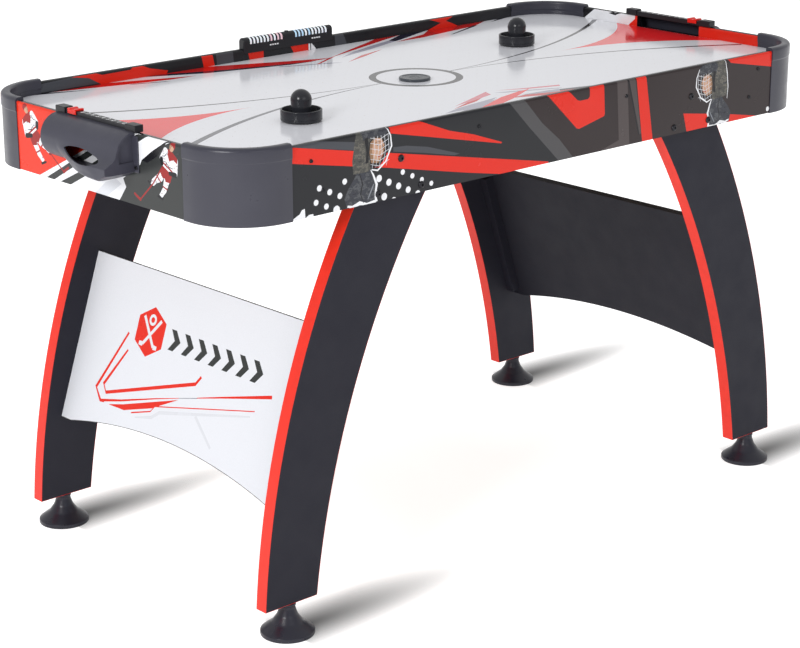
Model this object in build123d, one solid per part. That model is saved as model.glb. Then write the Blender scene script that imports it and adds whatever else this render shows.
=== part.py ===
from build123d import *
import math
import os

# Home air hockey table, all sizes in millimetres.
# Origin: floor level under the middle of the table. +X along the table, +Y towards the scorer side, +Z up.

# ---- cabinet ----
LENGTH = 1372.0
WIDTH = 684.0
BOARD_TOP = 804.0
BOARD_BOTTOM = 689.0
BOARD_T = 12.0
BOARD_EDGE_R = 4.0
CORNER_LEG = 116.0
CORNER_R = 103.0
SEAM_GAP = 0.2
FIELD_TOP = 783.0
FIELD_T = 15.0
FIELD_GAP = 0.3
SLOT_HALF = 80.0

HALF_L = LENGTH / 2
HALF_W = WIDTH / 2
SEAM_X = HALF_L - CORNER_LEG
SEAM_Y = HALF_W - CORNER_LEG
INNER_X = HALF_L - BOARD_T
INNER_Y = HALF_W - BOARD_T
FIELD_BOTTOM = FIELD_TOP - FIELD_T

# ---- moulded corner ----
CORNER_PROUD = 1.5
CORNER_SKIN = 3.0
LIP_TOP = 809.0
LIP_OUT = 1.2
LIP_IN = 1.5
TAB_T = 4.0
TAB_BOTTOM = 696.0
TAB_TOP = 762.0
TAB_LONG = 76.0
TAB_END = 56.0

# ---- legs ----
LEG_T = 24.0
LEG_BOTTOM = 53.5
LEG_TOP = 766.0
LEG_OUT_R = 1454.5
LEG_OUT_CX = 822.0
LEG_OUT_CZ = -45.0
LEG_IN_R = 1475.0
LEG_IN_CX = 940.0
LEG_IN_CZ = -137.5
EDGING_T = 0.5
LEG_MID_Y = INNER_Y - LEG_T / 2
LEG_FACE_Y = INNER_Y - LEG_T
LEG_BOLTS = ((304.0, 701.0), (396.0, 701.5), (348.0, 751.0))

# ---- feet ----
FOOT_X = 575.5
FOOT_R = 44.5
FOOT_RIM = 7.0
FOOT_NECK_R = 13.0
FOOT_TOP = 53.2
STUD_R = 4.0
STUD_CLEAR = 0.05
STUD_TOP = 86.0
STUD_BASE = 14.0

# ---- end panels ----
PANEL_T = 12.0
PANEL_TOP_X = 482.5
PANEL_TOP_Z = 492.5
PANEL_LOW_X = 578.0
PANEL_LOW_Z = 204.0
PANEL_ARCH = 31.0
PANEL_TAB = 28.0
CLEAT = 18.0
CLEAT_LEN = 270.0

# ---- air chamber ----
TRAY_T = 3.0
AIR_RAIL_H = 27.0
AIR_RAIL_T = 20.0
AIR_HALF_X = 600.0
AIR_HALF_Y = 302.0
TRAY_TOP = FIELD_BOTTOM - AIR_RAIL_H
TRAY_BOTTOM = TRAY_TOP - TRAY_T
TRAY_HOLE_R = 40.0

# ---- blower ----
BLOWER_R = 60.0
BLOWER_FLANGE_R = 68.0
BLOWER_H = 38.0
BLOWER_WALL = 2.5
IMPELLER_R = 48.0
IMPELLER_BLADES = 11
MOTOR_R = 16.0
MOTOR_H = 20.0
SHAFT_R = 2.0

# ---- goal boxes ----
HOOD_R = 36.0
HOOD_Z = 770.0
HOOD_HALF = 104.0
HOOD_WALL = 2.5
POUCH_START = 60.0
POUCH_FULL = -80.0
POUCH_DEPTH = 59.0
POUCH_RIM = 755.0
POUCH_FLOOR = 732.0
POUCH_END_RISE = 11.0
EYE_LEFT = (36.0, 764.0)
EYE_TOP = (-8.0, 770.5)
EYE_RIGHT = (-74.0, 760.0)
EYE_LOW = (-22.0, 750.5)
FLANGE_HALF = 114.0
FLANGE_LOW = 742.0
FLANGE_HIGH = 800.0
BOX_SCREW_Y = 109.0
BOX_SCREW_Z = 750.0
END_WALL = 5.0
END_RECESS = 2.4

# ---- slide scorers ----
RAIL_HALF = 108.0
RAIL_BLOCK = 26.0
RAIL_TOP = 813.0
RAIL_BLOCK_TOP = 816.0
RAIL_HALF_T = 6.0
BLOCK_HALF_T = 8.5
BLOCK_DROP = 796.0
SLIDER_LEN = 22.0
SLIDER_Y = 63.0
SLIDER_T = 2.0
SLIDER_GAP = 0.35
SLIDER_LOW = 807.5
RAIL_X = -(HALF_L + INNER_X) / 2

# ---- electronic scorer ----
ES_X = -20.0
ES_HALF = 107.5
ES_TOP = 824.0
ES_FRONT = INNER_Y - 2.0
ES_BACK = HALF_W + 2.0
ES_ROUND = 7.8
ES_END_ROUND = 2.5
ES_LIGHTS = 10
ES_PITCH = 8.1
ES_BAR_W = 4.6
ES_BAR_T = 2.0
ES_BAR_H = 12.0
ES_BAR_SUNK = 0.3
ES_BANK_GAP = 13.5
ES_LENS_GAP = 0.1
ES_BUTTON_R = 4.0

# ---- loose pieces ----
LIFT = 0.2
PUSHER_R = 34.3
PUSHER_H = 20.0
PUSHER_TOTAL = 52.0
KNOB_R = 17.5
CUP_WALL = 2.6
PUSHER_LEFT = (-380.0, -138.0)
PUSHER_RIGHT = (356.0, 102.0)
FELT_T = 1.5
PUCK_R = 28.0
PUCK_T = 5.0
PUCK_AT = (-16.0, -14.0)

# ---- switch ----
SWITCH_X = 300.0
SWITCH_Z = 742.0
SWITCH_TILT = 7.0
PLATE_HALF_X = 27.0
PLATE_HALF_Z = 16.0
CUT_HALF_X = 22.0
CUT_HALF_Z = 11.0

# ---- fasteners ----
SCREW_HEAD_R = 3.2
SCREW_R = 2.0
SCREW_LEN = 22.0
BOLT_HEAD_R = 6.0
BOLT_HEAD_H = 3.0
BOLT_R = 3.0
BOLT_LEN = 28.0
SIDE_SCREWS = ((532.0, 776.0), (176.5, 776.0), (509.0, 727.0))


def block(x0, x1, y0, y1, z0, z1):
    """Box between two corners."""
    return Pos((x0 + x1) / 2, (y0 + y1) / 2, (z0 + z1) / 2) * Box(x1 - x0, y1 - y0, z1 - z0)


def rod(radius, p, axis, length):
    """Cylinder that starts at p and runs along axis."""
    upright = Cylinder(radius, length, align=(Align.CENTER, Align.CENTER, Align.MIN))
    return Plane(origin=p, z_dir=axis) * upright


def turned(points):
    """Solid of revolution about Z from a closed (radius, height) outline."""
    face = Plane.XZ * make_face(Polyline(*points, close=True))
    return revolve(face, Axis.Z, 360)


def flip_x(shape):
    return mirror(shape, about=Plane.YZ)


def flip_y(shape):
    return mirror(shape, about=Plane.XZ)


def turn_round(shape):
    """The same piece at the other end of the table."""
    return Rot(0, 0, 180) * shape


def at_corner(shape, side_x, side_y):
    """Take a piece drawn for the +X +Y corner to another corner."""
    out = shape if side_x > 0 else flip_x(shape)
    return out if side_y > 0 else flip_y(out)


# ---------------------------------------------------------------- fasteners
def screw():
    """Pan-head screw pointing along +Y, underside of the head at y = 0."""
    head = turned([(0, -2.2), (2.6, -2.2), (SCREW_HEAD_R, -0.9), (SCREW_HEAD_R, 0), (0, 0)])
    shank = turned([(0, 0), (SCREW_R, 0), (SCREW_R, SCREW_LEN - 3), (0.4, SCREW_LEN), (0, SCREW_LEN)])
    cross = block(-1.8, 1.8, -0.4, 0.4, -2.3, -1.2)
    cross += block(-0.4, 0.4, -1.8, 1.8, -2.3, -1.2)
    return Rot(-90, 0, 0) * (head + shank - cross)


def bolt():
    """Button-head bolt pointing along +Y, underside of the head at y = 0."""
    crown = [(0, -BOLT_HEAD_H), (3.6, -BOLT_HEAD_H), (5.4, -2), (BOLT_HEAD_R, -0.6)]
    head = turned(crown + [(BOLT_HEAD_R, 0), (0, 0)])
    shank = rod(BOLT_R, (0, 0, 0), (0, 0, 1), BOLT_LEN)
    socket = Pos(0, 0, -BOLT_HEAD_H - 0.1) * extrude(RegularPolygon(2.2, 6), 1.9)
    return Rot(-90, 0, 0) * (head + shank - socket)


def side_fasteners(shape, spots):
    """Copies of a fastener in both long boards."""
    out = []
    for side in (-1, 1):
        for x, z in spots:
            for end in (-1, 1):
                if side < 0:
                    out.append(Pos(end * x, -HALF_W, z) * shape)
                else:
                    out.append(Pos(end * x, HALF_W, z) * Rot(0, 0, 180) * shape)
    return out


def box_screws():
    """Screws through the flanges of the goal boxes."""
    out = []
    for end in (-1, 1):
        for side in (-1, 1):
            turn = 90 if end > 0 else -90
            spot = Pos(end * (HALF_L + HOOD_WALL), side * BOX_SCREW_Y, BOX_SCREW_Z)
            out.append(spot * Rot(0, 0, turn) * screw())
    return out


def bolt_holes(radius):
    """Holes for the leg bolts on the -Y side."""
    holes = []
    for x, z in LEG_BOLTS:
        for end in (-1, 1):
            holes.append(rod(radius, (end * x, -HALF_W - 1, z), (0, 1, 0), BOLT_LEN + 3))
    return holes


def screw_holes():
    """Pilot holes for the side screws on the -Y side."""
    holes = []
    for x, z in SIDE_SCREWS:
        for end in (-1, 1):
            holes.append(rod(SCREW_R + 0.1, (end * x, -HALF_W - 1, z), (0, 1, 0), SCREW_LEN + 2))
    return holes


# ---------------------------------------------------------------- cabinet
def round_top(board, axis):
    """Round the two long top edges of a board."""
    edges = board.edges().filter_by(axis).group_by(Axis.Z)[-1]
    return fillet(edges, BOARD_EDGE_R)


def long_board():
    """Near side board, y negative."""
    end = SEAM_X - SEAM_GAP
    board = block(-end, end, -HALF_W, -INNER_Y, BOARD_BOTTOM, BOARD_TOP)
    board = round_top(board, Axis.X)
    for hole in bolt_holes(BOLT_R + 0.3) + screw_holes():
        board -= hole
    return board


def back_board():
    """Far side board with the opening for the switch plate."""
    board = flip_y(long_board())
    x0 = SWITCH_X - CUT_HALF_X
    x1 = SWITCH_X + CUT_HALF_X
    return board - block(x0, x1, INNER_Y - 1, HALF_W + 1, SWITCH_Z - CUT_HALF_Z, SWITCH_Z + CUT_HALF_Z)


def end_board():
    """Left end board with the goal slot."""
    end = SEAM_Y - SEAM_GAP
    board = block(-HALF_L, -INNER_X, -end, end, BOARD_BOTTOM, BOARD_TOP)
    board = round_top(board, Axis.Y)
    board -= block(-HALF_L - 1, -INNER_X + 1, -SLOT_HALF, SLOT_HALF, FIELD_TOP, BOARD_TOP + 1)
    for side in (-1, 1):
        spot = (-HALF_L - 1, side * BOX_SCREW_Y, BOX_SCREW_Z)
        board -= rod(SCREW_R + 0.1, spot, (1, 0, 0), SCREW_LEN)
    return board


def corner_shell():
    """Swept shell of the corner: a quarter turn with a short straight run to each board."""
    r_out = CORNER_R + CORNER_PROUD
    r_in = CORNER_R - BOARD_T
    shoulder = BOARD_TOP - 19
    outline = [
        (r_out - CORNER_SKIN, BOARD_BOTTOM - 1),
        (r_out, BOARD_BOTTOM - 1),
        (r_out, shoulder),
        (r_out + LIP_OUT, shoulder + 1.5),
        (r_out + LIP_OUT, LIP_TOP - 6),
        (r_out - 1.0, LIP_TOP - 2),
        (r_out - 5, LIP_TOP),
        (r_in + 3.5, LIP_TOP),
        (r_in - 0.2, LIP_TOP - 1.6),
        (r_in - LIP_IN, LIP_TOP - 5),
        (r_in - LIP_IN, LIP_TOP - 12),
        (r_in, LIP_TOP - 15),
        (r_in, FIELD_BOTTOM),
        (r_in + CORNER_SKIN, FIELD_BOTTOM),
        (r_in + CORNER_SKIN, BOARD_TOP),
        (r_out - CORNER_SKIN, BOARD_TOP),
    ]
    face = Plane.XZ * make_face(Polyline(*outline, close=True))
    straight = CORNER_LEG - CORNER_R
    shell = revolve(face, Axis.Z, 90)
    shell += extrude(face, straight, dir=(0, -1, 0))
    shell += extrude(Rot(0, 0, 90) * face, straight, dir=(-1, 0, 0))
    return Pos(SEAM_X + straight, SEAM_Y + straight, 0) * shell


def corner_piece():
    """Moulded corner for +X +Y, hollow from below, with a tab behind each board."""
    r_out = CORNER_LEG + CORNER_PROUD
    r_in = CORNER_LEG - BOARD_T
    rib = block(r_in - TAB_T, r_out - 1, 0, CORNER_SKIN, TAB_BOTTOM, TAB_TOP)
    rib_side = block(0, CORNER_SKIN, r_in - TAB_T, r_out - 1, TAB_BOTTOM, TAB_TOP)
    tab_end = block(r_in - TAB_T, r_in, -TAB_END, CORNER_SKIN, TAB_BOTTOM, TAB_TOP)
    tab_long = block(-TAB_LONG, CORNER_SKIN, r_in - TAB_T, r_in, TAB_BOTTOM, TAB_TOP)
    piece = corner_shell() + Pos(SEAM_X, SEAM_Y, 0) * (rib + rib_side + tab_end + tab_long)
    hole = rod(SCREW_R + 0.1, (SIDE_SCREWS[2][0], HALF_W, SIDE_SCREWS[2][1]), (0, -1, 0), 30)
    return piece - hole


def playfield():
    """Playing surface board with rounded corners."""
    sheet = Rectangle(2 * (INNER_X - FIELD_GAP), 2 * (INNER_Y - FIELD_GAP))
    sheet = fillet(sheet.vertices(), CORNER_R - BOARD_T - FIELD_GAP)
    board = Pos(0, 0, FIELD_BOTTOM) * extrude(sheet, FIELD_T)
    for hole in screw_holes():
        board = board - hole - flip_y(hole)
    return board


# ---------------------------------------------------------------- air chamber
def air_tray():
    """Thin bottom sheet of the air chamber with the blower hole."""
    sheet = block(-AIR_HALF_X, AIR_HALF_X, -AIR_HALF_Y, AIR_HALF_Y, TRAY_BOTTOM, TRAY_TOP)
    return sheet - rod(TRAY_HOLE_R, (0, 0, TRAY_BOTTOM - 1), (0, 0, 1), TRAY_T + 2)


def air_rail_long():
    y0 = -AIR_HALF_Y
    return block(-AIR_HALF_X, AIR_HALF_X, y0, y0 + AIR_RAIL_T, TRAY_TOP, FIELD_BOTTOM)


def air_rail_short():
    x0 = -AIR_HALF_X
    inner = AIR_HALF_Y - AIR_RAIL_T
    return block(x0, x0 + AIR_RAIL_T, -inner, inner, TRAY_TOP, FIELD_BOTTOM)


def blower_housing():
    """Round fan case that hangs under the air tray."""
    top = TRAY_BOTTOM
    case = rod(BLOWER_R, (0, 0, top - BLOWER_H), (0, 0, 1), BLOWER_H)
    case += rod(BLOWER_FLANGE_R, (0, 0, top - 3), (0, 0, 1), 3)
    case -= rod(BLOWER_R - BLOWER_WALL, (0, 0, top - BLOWER_H - 1), (0, 0, 1), BLOWER_H - 2)
    case -= rod(TRAY_HOLE_R, (0, 0, top - 5), (0, 0, 1), 6)
    return case


def blower_grille():
    """Slotted cover on the underside of the blower."""
    low = TRAY_BOTTOM - BLOWER_H
    disc = rod(BLOWER_R, (0, 0, low - 2.5), (0, 0, 1), 2.5)
    for ring in range(2):
        r_mid = 28 + 14 * ring
        for step in range(12):
            slot = Pos(r_mid, 0, low - 2) * Box(9, 6, 8)
            disc -= Rot(0, 0, 30 * step + 15 * ring) * slot
    return disc


def blower_motor():
    """Motor can on the grille with its shaft."""
    low = TRAY_BOTTOM - BLOWER_H
    motor = rod(MOTOR_R, (0, 0, low), (0, 0, 1), MOTOR_H)
    return motor + rod(SHAFT_R, (0, 0, low + MOTOR_H), (0, 0, 1), 11)


def blower_impeller():
    """Fan wheel on the motor shaft."""
    low = TRAY_BOTTOM - BLOWER_H + MOTOR_H + 2
    wheel = rod(12, (0, 0, low), (0, 0, 1), 8)
    wheel += rod(IMPELLER_R, (0, 0, low), (0, 0, 1), 2)
    for step in range(IMPELLER_BLADES):
        blade = Pos((IMPELLER_R + 26) / 2, 0, low + 5) * Rot(0, 0, 24) * Box(IMPELLER_R - 28, 1.6, 8)
        wheel += Rot(0, 0, step * 360 / IMPELLER_BLADES) * blade
    return wheel - rod(SHAFT_R + 0.05, (0, 0, low - 1), (0, 0, 1), 12)


# ---------------------------------------------------------------- legs and panels
def arc_x(z, cx, cz, radius):
    """Distance out from the middle of a point on one of the leg's curved edges."""
    return math.sqrt(radius ** 2 - (z - cz) ** 2) - cx


def leg_outline(inset):
    """Curved leg face in the XZ plane for +X, drawn in by inset on its edged sides."""
    z0 = LEG_BOTTOM + inset
    z1 = LEG_TOP
    zm = (z0 + z1) / 2
    out_pts = [(arc_x(z, LEG_OUT_CX, LEG_OUT_CZ, LEG_OUT_R - inset), z) for z in (z0, zm, z1)]
    in_pts = [(arc_x(z, LEG_IN_CX, LEG_IN_CZ, LEG_IN_R + inset), z) for z in (z1, zm, z0)]
    lines = [
        ThreePointArc(*out_pts),
        Line(out_pts[2], in_pts[0]),
        ThreePointArc(*in_pts),
        Line(in_pts[2], out_pts[0]),
    ]
    return make_face(Wire(lines))


def leg_slab(inset):
    """Leg face thickened between the two faces of the leg on the +Y side."""
    face = Plane.XZ * leg_outline(inset)
    return Pos(0, INNER_Y, 0) * extrude(face, LEG_T)


def stud_hole():
    return rod(STUD_R + STUD_CLEAR, (FOOT_X, LEG_MID_Y, 0), (0, 0, 1), STUD_TOP + 6)


def leg_core():
    leg = leg_slab(EDGING_T) - stud_hole()
    for hole in bolt_holes(5.0):
        leg -= flip_y(hole)
    return leg


def leg_edging():
    """One plastic strip round the curved edges and the bottom of a leg."""
    return leg_slab(0) - leg_slab(EDGING_T) - stud_hole()


def leg_inserts():
    """Threaded inserts for the leg bolts."""
    out = []
    for side in (-1, 1):
        for end in (-1, 1):
            for x, z in LEG_BOLTS:
                spot = (end * x, side * (INNER_Y - 0.2), z)
                tube = rod(4.9, spot, (0, -side, 0), 15)
                out.append(tube - rod(BOLT_R + 0.05, spot, (0, -side, 0), 16))
    return out


def foot():
    """Conical levelling foot moulded round the head of its stud."""
    side = Spline((FOOT_R - 1.5, FOOT_RIM + 2), (25, 22), (17, 33), (FOOT_NECK_R, 44))
    lines = [
        Line((0, 0), (FOOT_R - 1, 0)),
        Line((FOOT_R - 1, 0), (FOOT_R, 1)),
        Line((FOOT_R, 1), (FOOT_R, FOOT_RIM)),
        Line((FOOT_R, FOOT_RIM), (FOOT_R - 1.5, FOOT_RIM + 2)),
        side,
        Line((FOOT_NECK_R, 44), (FOOT_NECK_R, FOOT_TOP)),
        Line((FOOT_NECK_R, FOOT_TOP), (0, FOOT_TOP)),
        Line((0, FOOT_TOP), (0, 0)),
    ]
    body = revolve(Plane.XZ * make_face(Wire(lines)), Axis.Z, 360)
    body -= rod(STUD_R, (0, 0, STUD_BASE), (0, 0, 1), FOOT_TOP)
    return Pos(FOOT_X, LEG_MID_Y, 0) * body


def foot_stud():
    stud = rod(STUD_R, (FOOT_X, LEG_MID_Y, STUD_BASE), (0, 0, 1), STUD_TOP - STUD_BASE)
    return chamfer(stud.edges().group_by(Axis.Z)[-1], 1.0)


def end_panel():
    """Sloping panel between the two legs at the +X end, arched along the bottom."""
    run = PANEL_LOW_X - PANEL_TOP_X
    drop = PANEL_TOP_Z - PANEL_LOW_Z
    slope = math.hypot(run, drop)
    half = LEG_FACE_Y - 0.1
    arch = PANEL_ARCH * slope / drop
    lines = [
        Line((-half, 0), (half, 0)),
        Line((half, 0), (half, -slope)),
        Line((half, -slope), (half - PANEL_TAB, -slope)),
        ThreePointArc((half - PANEL_TAB, -slope), (0, arch - slope), (PANEL_TAB - half, -slope)),
        Line((PANEL_TAB - half, -slope), (-half, -slope)),
        Line((-half, -slope), (-half, 0)),
    ]
    plane = Plane(origin=(PANEL_TOP_X, 0, PANEL_TOP_Z), x_dir=(0, 1, 0), z_dir=(drop, 0, run))
    return extrude(plane * make_face(Wire(lines)), -PANEL_T)


def cleat():
    """Batten that joins the end panel to the leg on the +Y side."""
    run = PANEL_LOW_X - PANEL_TOP_X
    drop = PANEL_TOP_Z - PANEL_LOW_Z
    slope = math.hypot(run, drop)
    plane = Plane(origin=(PANEL_TOP_X, 0, PANEL_TOP_Z), x_dir=(0, 1, 0), z_dir=(drop, 0, run))
    side = LEG_FACE_Y - 0.1
    low = -slope + 16
    return plane * block(side - CLEAT, side, low, low + CLEAT_LEN, -CLEAT - PANEL_T, -PANEL_T)


# ---------------------------------------------------------------- goal boxes
def hood_solid(radius, half):
    """Half barrel against the left end board."""
    barrel = rod(radius, (-HALF_L, -half, HOOD_Z), (0, 1, 0), 2 * half)
    reach = radius + 1
    behind = block(-HALF_L - reach, -HALF_L, -half - 1, half + 1, HOOD_Z - reach, HOOD_Z + reach)
    return barrel & behind


def pouch_profile(y, wall):
    """Cross-section of the box at one place along Y: a barrel above, swelling into the pouch below."""
    t = max(0.0, min(1.0, (POUCH_START - y) / (POUCH_START - POUCH_FULL)))
    swell = t * (2.0 - t)
    past = max(0.0, (POUCH_FULL - y) / (POUCH_FULL + HOOD_HALF))
    floor = POUCH_FLOOR + past * POUCH_END_RISE + wall
    deep = POUCH_DEPTH - wall
    radius = HOOD_R - wall
    full = {
        5: (radius + 5, HOOD_Z - 5),
        6: (deep - 7, POUCH_RIM + 3.5 - wall * 0.7),
        7: (deep, POUCH_RIM - 1 - wall * 0.3),
        8: (deep, max(floor + 5, POUCH_RIM - 13)),
        9: (deep - 7, floor),
        10: (0, floor),
    }
    points = []
    for i, degrees in enumerate((90, 70, 50, 30, 10, -5, -20, -40, -60, -75, -90)):
        angle = math.radians(degrees)
        out = radius * math.cos(angle)
        up = HOOD_Z + radius * math.sin(angle)
        target = full.get(i, (out, up))
        out += (target[0] - out) * swell
        up += (target[1] - up) * swell
        points.append(Vector(-HALF_L - out, y, up))
    points[0].X = -HALF_L
    points[-1].X = -HALF_L
    return make_face(Polyline(*points, close=True))


def box_form(wall, end_wall):
    """Outer or inner form of the goal box, from its plain end to its closed end."""
    stations = [HOOD_HALF - wall, POUCH_START]
    steps = 5
    for i in range(1, steps + 1):
        stations.append(POUCH_START + (POUCH_FULL - POUCH_START) * i / steps)
    stations.append(-HOOD_HALF + end_wall)
    return loft([pouch_profile(y, wall) for y in stations], ruled=True)


def eye_cutter():
    """Pointed opening in the front, through which the puck is picked out."""
    x = -HALF_L - POUCH_DEPTH - 5
    left, top, right, low = [Vector(x, y, z) for y, z in (EYE_LEFT, EYE_TOP, EYE_RIGHT, EYE_LOW)]
    outline = ThreePointArc(left, top, right) + ThreePointArc(right, low, left)
    return extrude(make_face(outline), 45, dir=(1, 0, 0))


def goal_box():
    """Puck catcher on the outside of the left end board."""
    wall = HOOD_WALL
    outer = box_form(0, 0)
    for side in (-1, 1):
        y0, y1 = sorted((side * (HOOD_HALF - 2), side * FLANGE_HALF))
        outer += block(-HALF_L - wall, -HALF_L, y0, y1, FLANGE_LOW, FLANGE_HIGH)
    box = outer - box_form(wall, END_WALL) - eye_cutter()
    recess = hood_solid(HOOD_R - 4, END_RECESS)
    recess &= block(-HALF_L - HOOD_R, -HALF_L - 3, -5, 5, POUCH_RIM + 4, HOOD_Z + HOOD_R)
    box -= Pos(0, -HOOD_HALF, 0) * recess
    for side in (-1, 1):
        box -= rod(SCREW_R + 0.1, (-HALF_L - 10, side * BOX_SCREW_Y, BOX_SCREW_Z), (1, 0, 0), 20)
    return box


# ---------------------------------------------------------------- slide scorers
def score_rail():
    """Counting bar across the top of the goal slot at the left end."""
    bar = block(RAIL_X - RAIL_HALF_T, RAIL_X + RAIL_HALF_T, -RAIL_HALF, RAIL_HALF, BOARD_TOP, RAIL_TOP)
    for side in (-1, 1):
        y0, y1 = sorted((side * (RAIL_HALF - RAIL_BLOCK), side * RAIL_HALF))
        cap = block(RAIL_X - BLOCK_HALF_T, RAIL_X + BLOCK_HALF_T, y0, y1, BLOCK_DROP, RAIL_BLOCK_TOP)
        cap = fillet(cap.edges().group_by(Axis.Z)[-1], 1.2)
        cap -= block(-HALF_L, -INNER_X, y0 - 1, y1 + 1, BLOCK_DROP - 1, BOARD_TOP)
        bar += cap - block(-HALF_L - 10, -HALF_L, y0 - 1, y1 + 1, BLOCK_DROP - 1, BOARD_TOP + 3)
    return bar


def score_slider():
    """Clip that rides on the counting bar at the left end."""
    half_t = RAIL_HALF_T + SLIDER_GAP
    y0 = SLIDER_Y - SLIDER_LEN / 2
    y1 = SLIDER_Y + SLIDER_LEN / 2
    wide = half_t + SLIDER_T
    top = RAIL_TOP + SLIDER_GAP
    outer = block(RAIL_X - wide, RAIL_X + wide, y0, y1, SLIDER_LOW, top + 3)
    inner = block(RAIL_X - half_t, RAIL_X + half_t, y0 - 1, y1 + 1, SLIDER_LOW - 1, top)
    window = block(RAIL_X - 4, RAIL_X + 4, SLIDER_Y - 6, SLIDER_Y + 6, top - 1, top + 4)
    outer = fillet(outer.edges().group_by(Axis.Z)[-1], 1.0)
    return outer - inner - window


# ---------------------------------------------------------------- electronic scorer
def light_spots():
    """Middle of each light bar along X, bank by bank."""
    first = ES_BANK_GAP + ES_PITCH / 2
    left = [ES_X - first - ES_PITCH * i for i in range(ES_LIGHTS)]
    right = [ES_X + first + ES_PITCH * i for i in range(ES_LIGHTS)]
    return left, right


def scorer_form(inset):
    """Saddle-shaped form of the scorer, or the same form drawn in by an inset."""
    low = BOARD_TOP - 8
    x0 = ES_X - ES_HALF + inset
    x1 = ES_X + ES_HALF - inset
    form = block(x0, x1, ES_FRONT + inset, ES_BACK - inset, low, ES_TOP - inset)
    form = fillet(form.edges().filter_by(Axis.X).group_by(Axis.Z)[-1], ES_ROUND - inset)
    return form


def light_slots(spots, skin, grow):
    """Parts of a skin of the scorer, one for each light bar."""
    back = (ES_FRONT + ES_BACK) / 2 + 4 + grow
    half = ES_BAR_W / 2 + grow
    low = ES_TOP - ES_BAR_H - grow
    return [skin & block(x - half, x + half, ES_FRONT - 3, back, low, ES_TOP + 3) for x in spots]


def lights(spots):
    """Curved light bars let into the top and front of the scorer."""
    skin = scorer_form(ES_BAR_SUNK) - scorer_form(ES_BAR_SUNK + ES_BAR_T)
    return light_slots(spots, skin, 0)


def scorer_housing():
    """Saddle-shaped case on top of the far side board."""
    case = scorer_form(0)
    case = fillet(case.faces().filter_by(Axis.X).edges().group_by(Axis.Z)[-1], ES_END_ROUND)
    case -= block(ES_X - 200, ES_X + 200, INNER_Y, HALF_W, BOARD_TOP - 20, BOARD_TOP)
    left, right = light_spots()
    skin = scorer_form(-1) - scorer_form(ES_BAR_SUNK + ES_BAR_T + ES_LENS_GAP)
    for slot in light_slots(left + right, skin, ES_LENS_GAP):
        case -= slot
    mid_y = (ES_FRONT + ES_BACK) / 2
    return case - rod(ES_BUTTON_R + 0.3, (ES_X, mid_y, ES_TOP - 5), (0, 0, 1), 10)


def scorer_button():
    mid_y = (ES_FRONT + ES_BACK) / 2
    cap = rod(ES_BUTTON_R, (ES_X, mid_y, ES_TOP - 3), (0, 0, 1), 4.5)
    return fillet(cap.edges().group_by(Axis.Z)[-1], 0.8)


# ---------------------------------------------------------------- loose pieces
def pusher(spot):
    """Striker: a cup with a hollow domed knob."""
    low = FELT_T
    centre = PUSHER_TOTAL - KNOB_R
    inner_r = KNOB_R - 2.5
    floor = low + 4
    lines = [
        Line((inner_r, low), (PUSHER_R - 1, low)),
        Line((PUSHER_R - 1, low), (PUSHER_R, low + 1)),
        Line((PUSHER_R, low + 1), (PUSHER_R, PUSHER_H - 1)),
        Line((PUSHER_R, PUSHER_H - 1), (PUSHER_R - 1, PUSHER_H)),
        Line((PUSHER_R - 1, PUSHER_H), (PUSHER_R - CUP_WALL, PUSHER_H)),
        Line((PUSHER_R - CUP_WALL, PUSHER_H), (PUSHER_R - CUP_WALL - 1, floor)),
        Line((PUSHER_R - CUP_WALL - 1, floor), (KNOB_R, floor)),
        Line((KNOB_R, floor), (KNOB_R, centre)),
        ThreePointArc(
            (KNOB_R, centre),
            (KNOB_R * math.sin(math.pi / 4), centre + KNOB_R * math.cos(math.pi / 4)),
            (0, centre + KNOB_R),
        ),
        Line((0, centre + KNOB_R), (0, centre + inner_r)),
        ThreePointArc(
            (0, centre + inner_r),
            (inner_r * math.sin(math.pi / 4), centre + inner_r * math.cos(math.pi / 4)),
            (inner_r, centre),
        ),
        Line((inner_r, centre), (inner_r, low)),
    ]
    body = revolve(Plane.XZ * make_face(Wire(lines)), Axis.Z, 360)
    return Pos(spot[0], spot[1], FIELD_TOP + LIFT) * body


def pusher_felt(spot):
    ring = rod(PUSHER_R - 3, (0, 0, 0), (0, 0, 1), FELT_T) - rod(KNOB_R, (0, 0, -1), (0, 0, 1), FELT_T + 2)
    return Pos(spot[0], spot[1], FIELD_TOP + LIFT) * ring


def puck():
    """Flat disc with a raised rim on both faces."""
    rim = PUCK_R - 5
    outline = [
        (0, 0.7),
        (rim - 0.7, 0.7),
        (rim, 0),
        (PUCK_R - 0.8, 0),
        (PUCK_R, 0.8),
        (PUCK_R, PUCK_T - 0.8),
        (PUCK_R - 0.8, PUCK_T),
        (rim, PUCK_T),
        (rim - 0.7, PUCK_T - 0.7),
        (0, PUCK_T - 0.7),
    ]
    return Pos(PUCK_AT[0], PUCK_AT[1], FIELD_TOP + LIFT) * turned(outline)


# ---------------------------------------------------------------- switch
def switch_plate():
    """Plate for the power switch and socket in the far side board."""
    y0 = HALF_W
    in_x = CUT_HALF_X - SEAM_GAP
    in_z = CUT_HALF_Z - SEAM_GAP
    plate = Pos(SWITCH_X, y0 + 1, SWITCH_Z) * Box(2 * PLATE_HALF_X, 2, 2 * PLATE_HALF_Z)
    plate = fillet(plate.edges().filter_by(Axis.Y), 3)
    plate += Pos(SWITCH_X, y0 - BOARD_T / 2, SWITCH_Z) * Box(2 * in_x, BOARD_T, 2 * in_z)
    plate -= block(SWITCH_X - 17, SWITCH_X + 5, y0 - 10, y0 + 3, SWITCH_Z - 7, SWITCH_Z + 7)
    return plate - rod(4.5, (SWITCH_X + 13, y0 - 10, SWITCH_Z), (0, 1, 0), 13)


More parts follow.
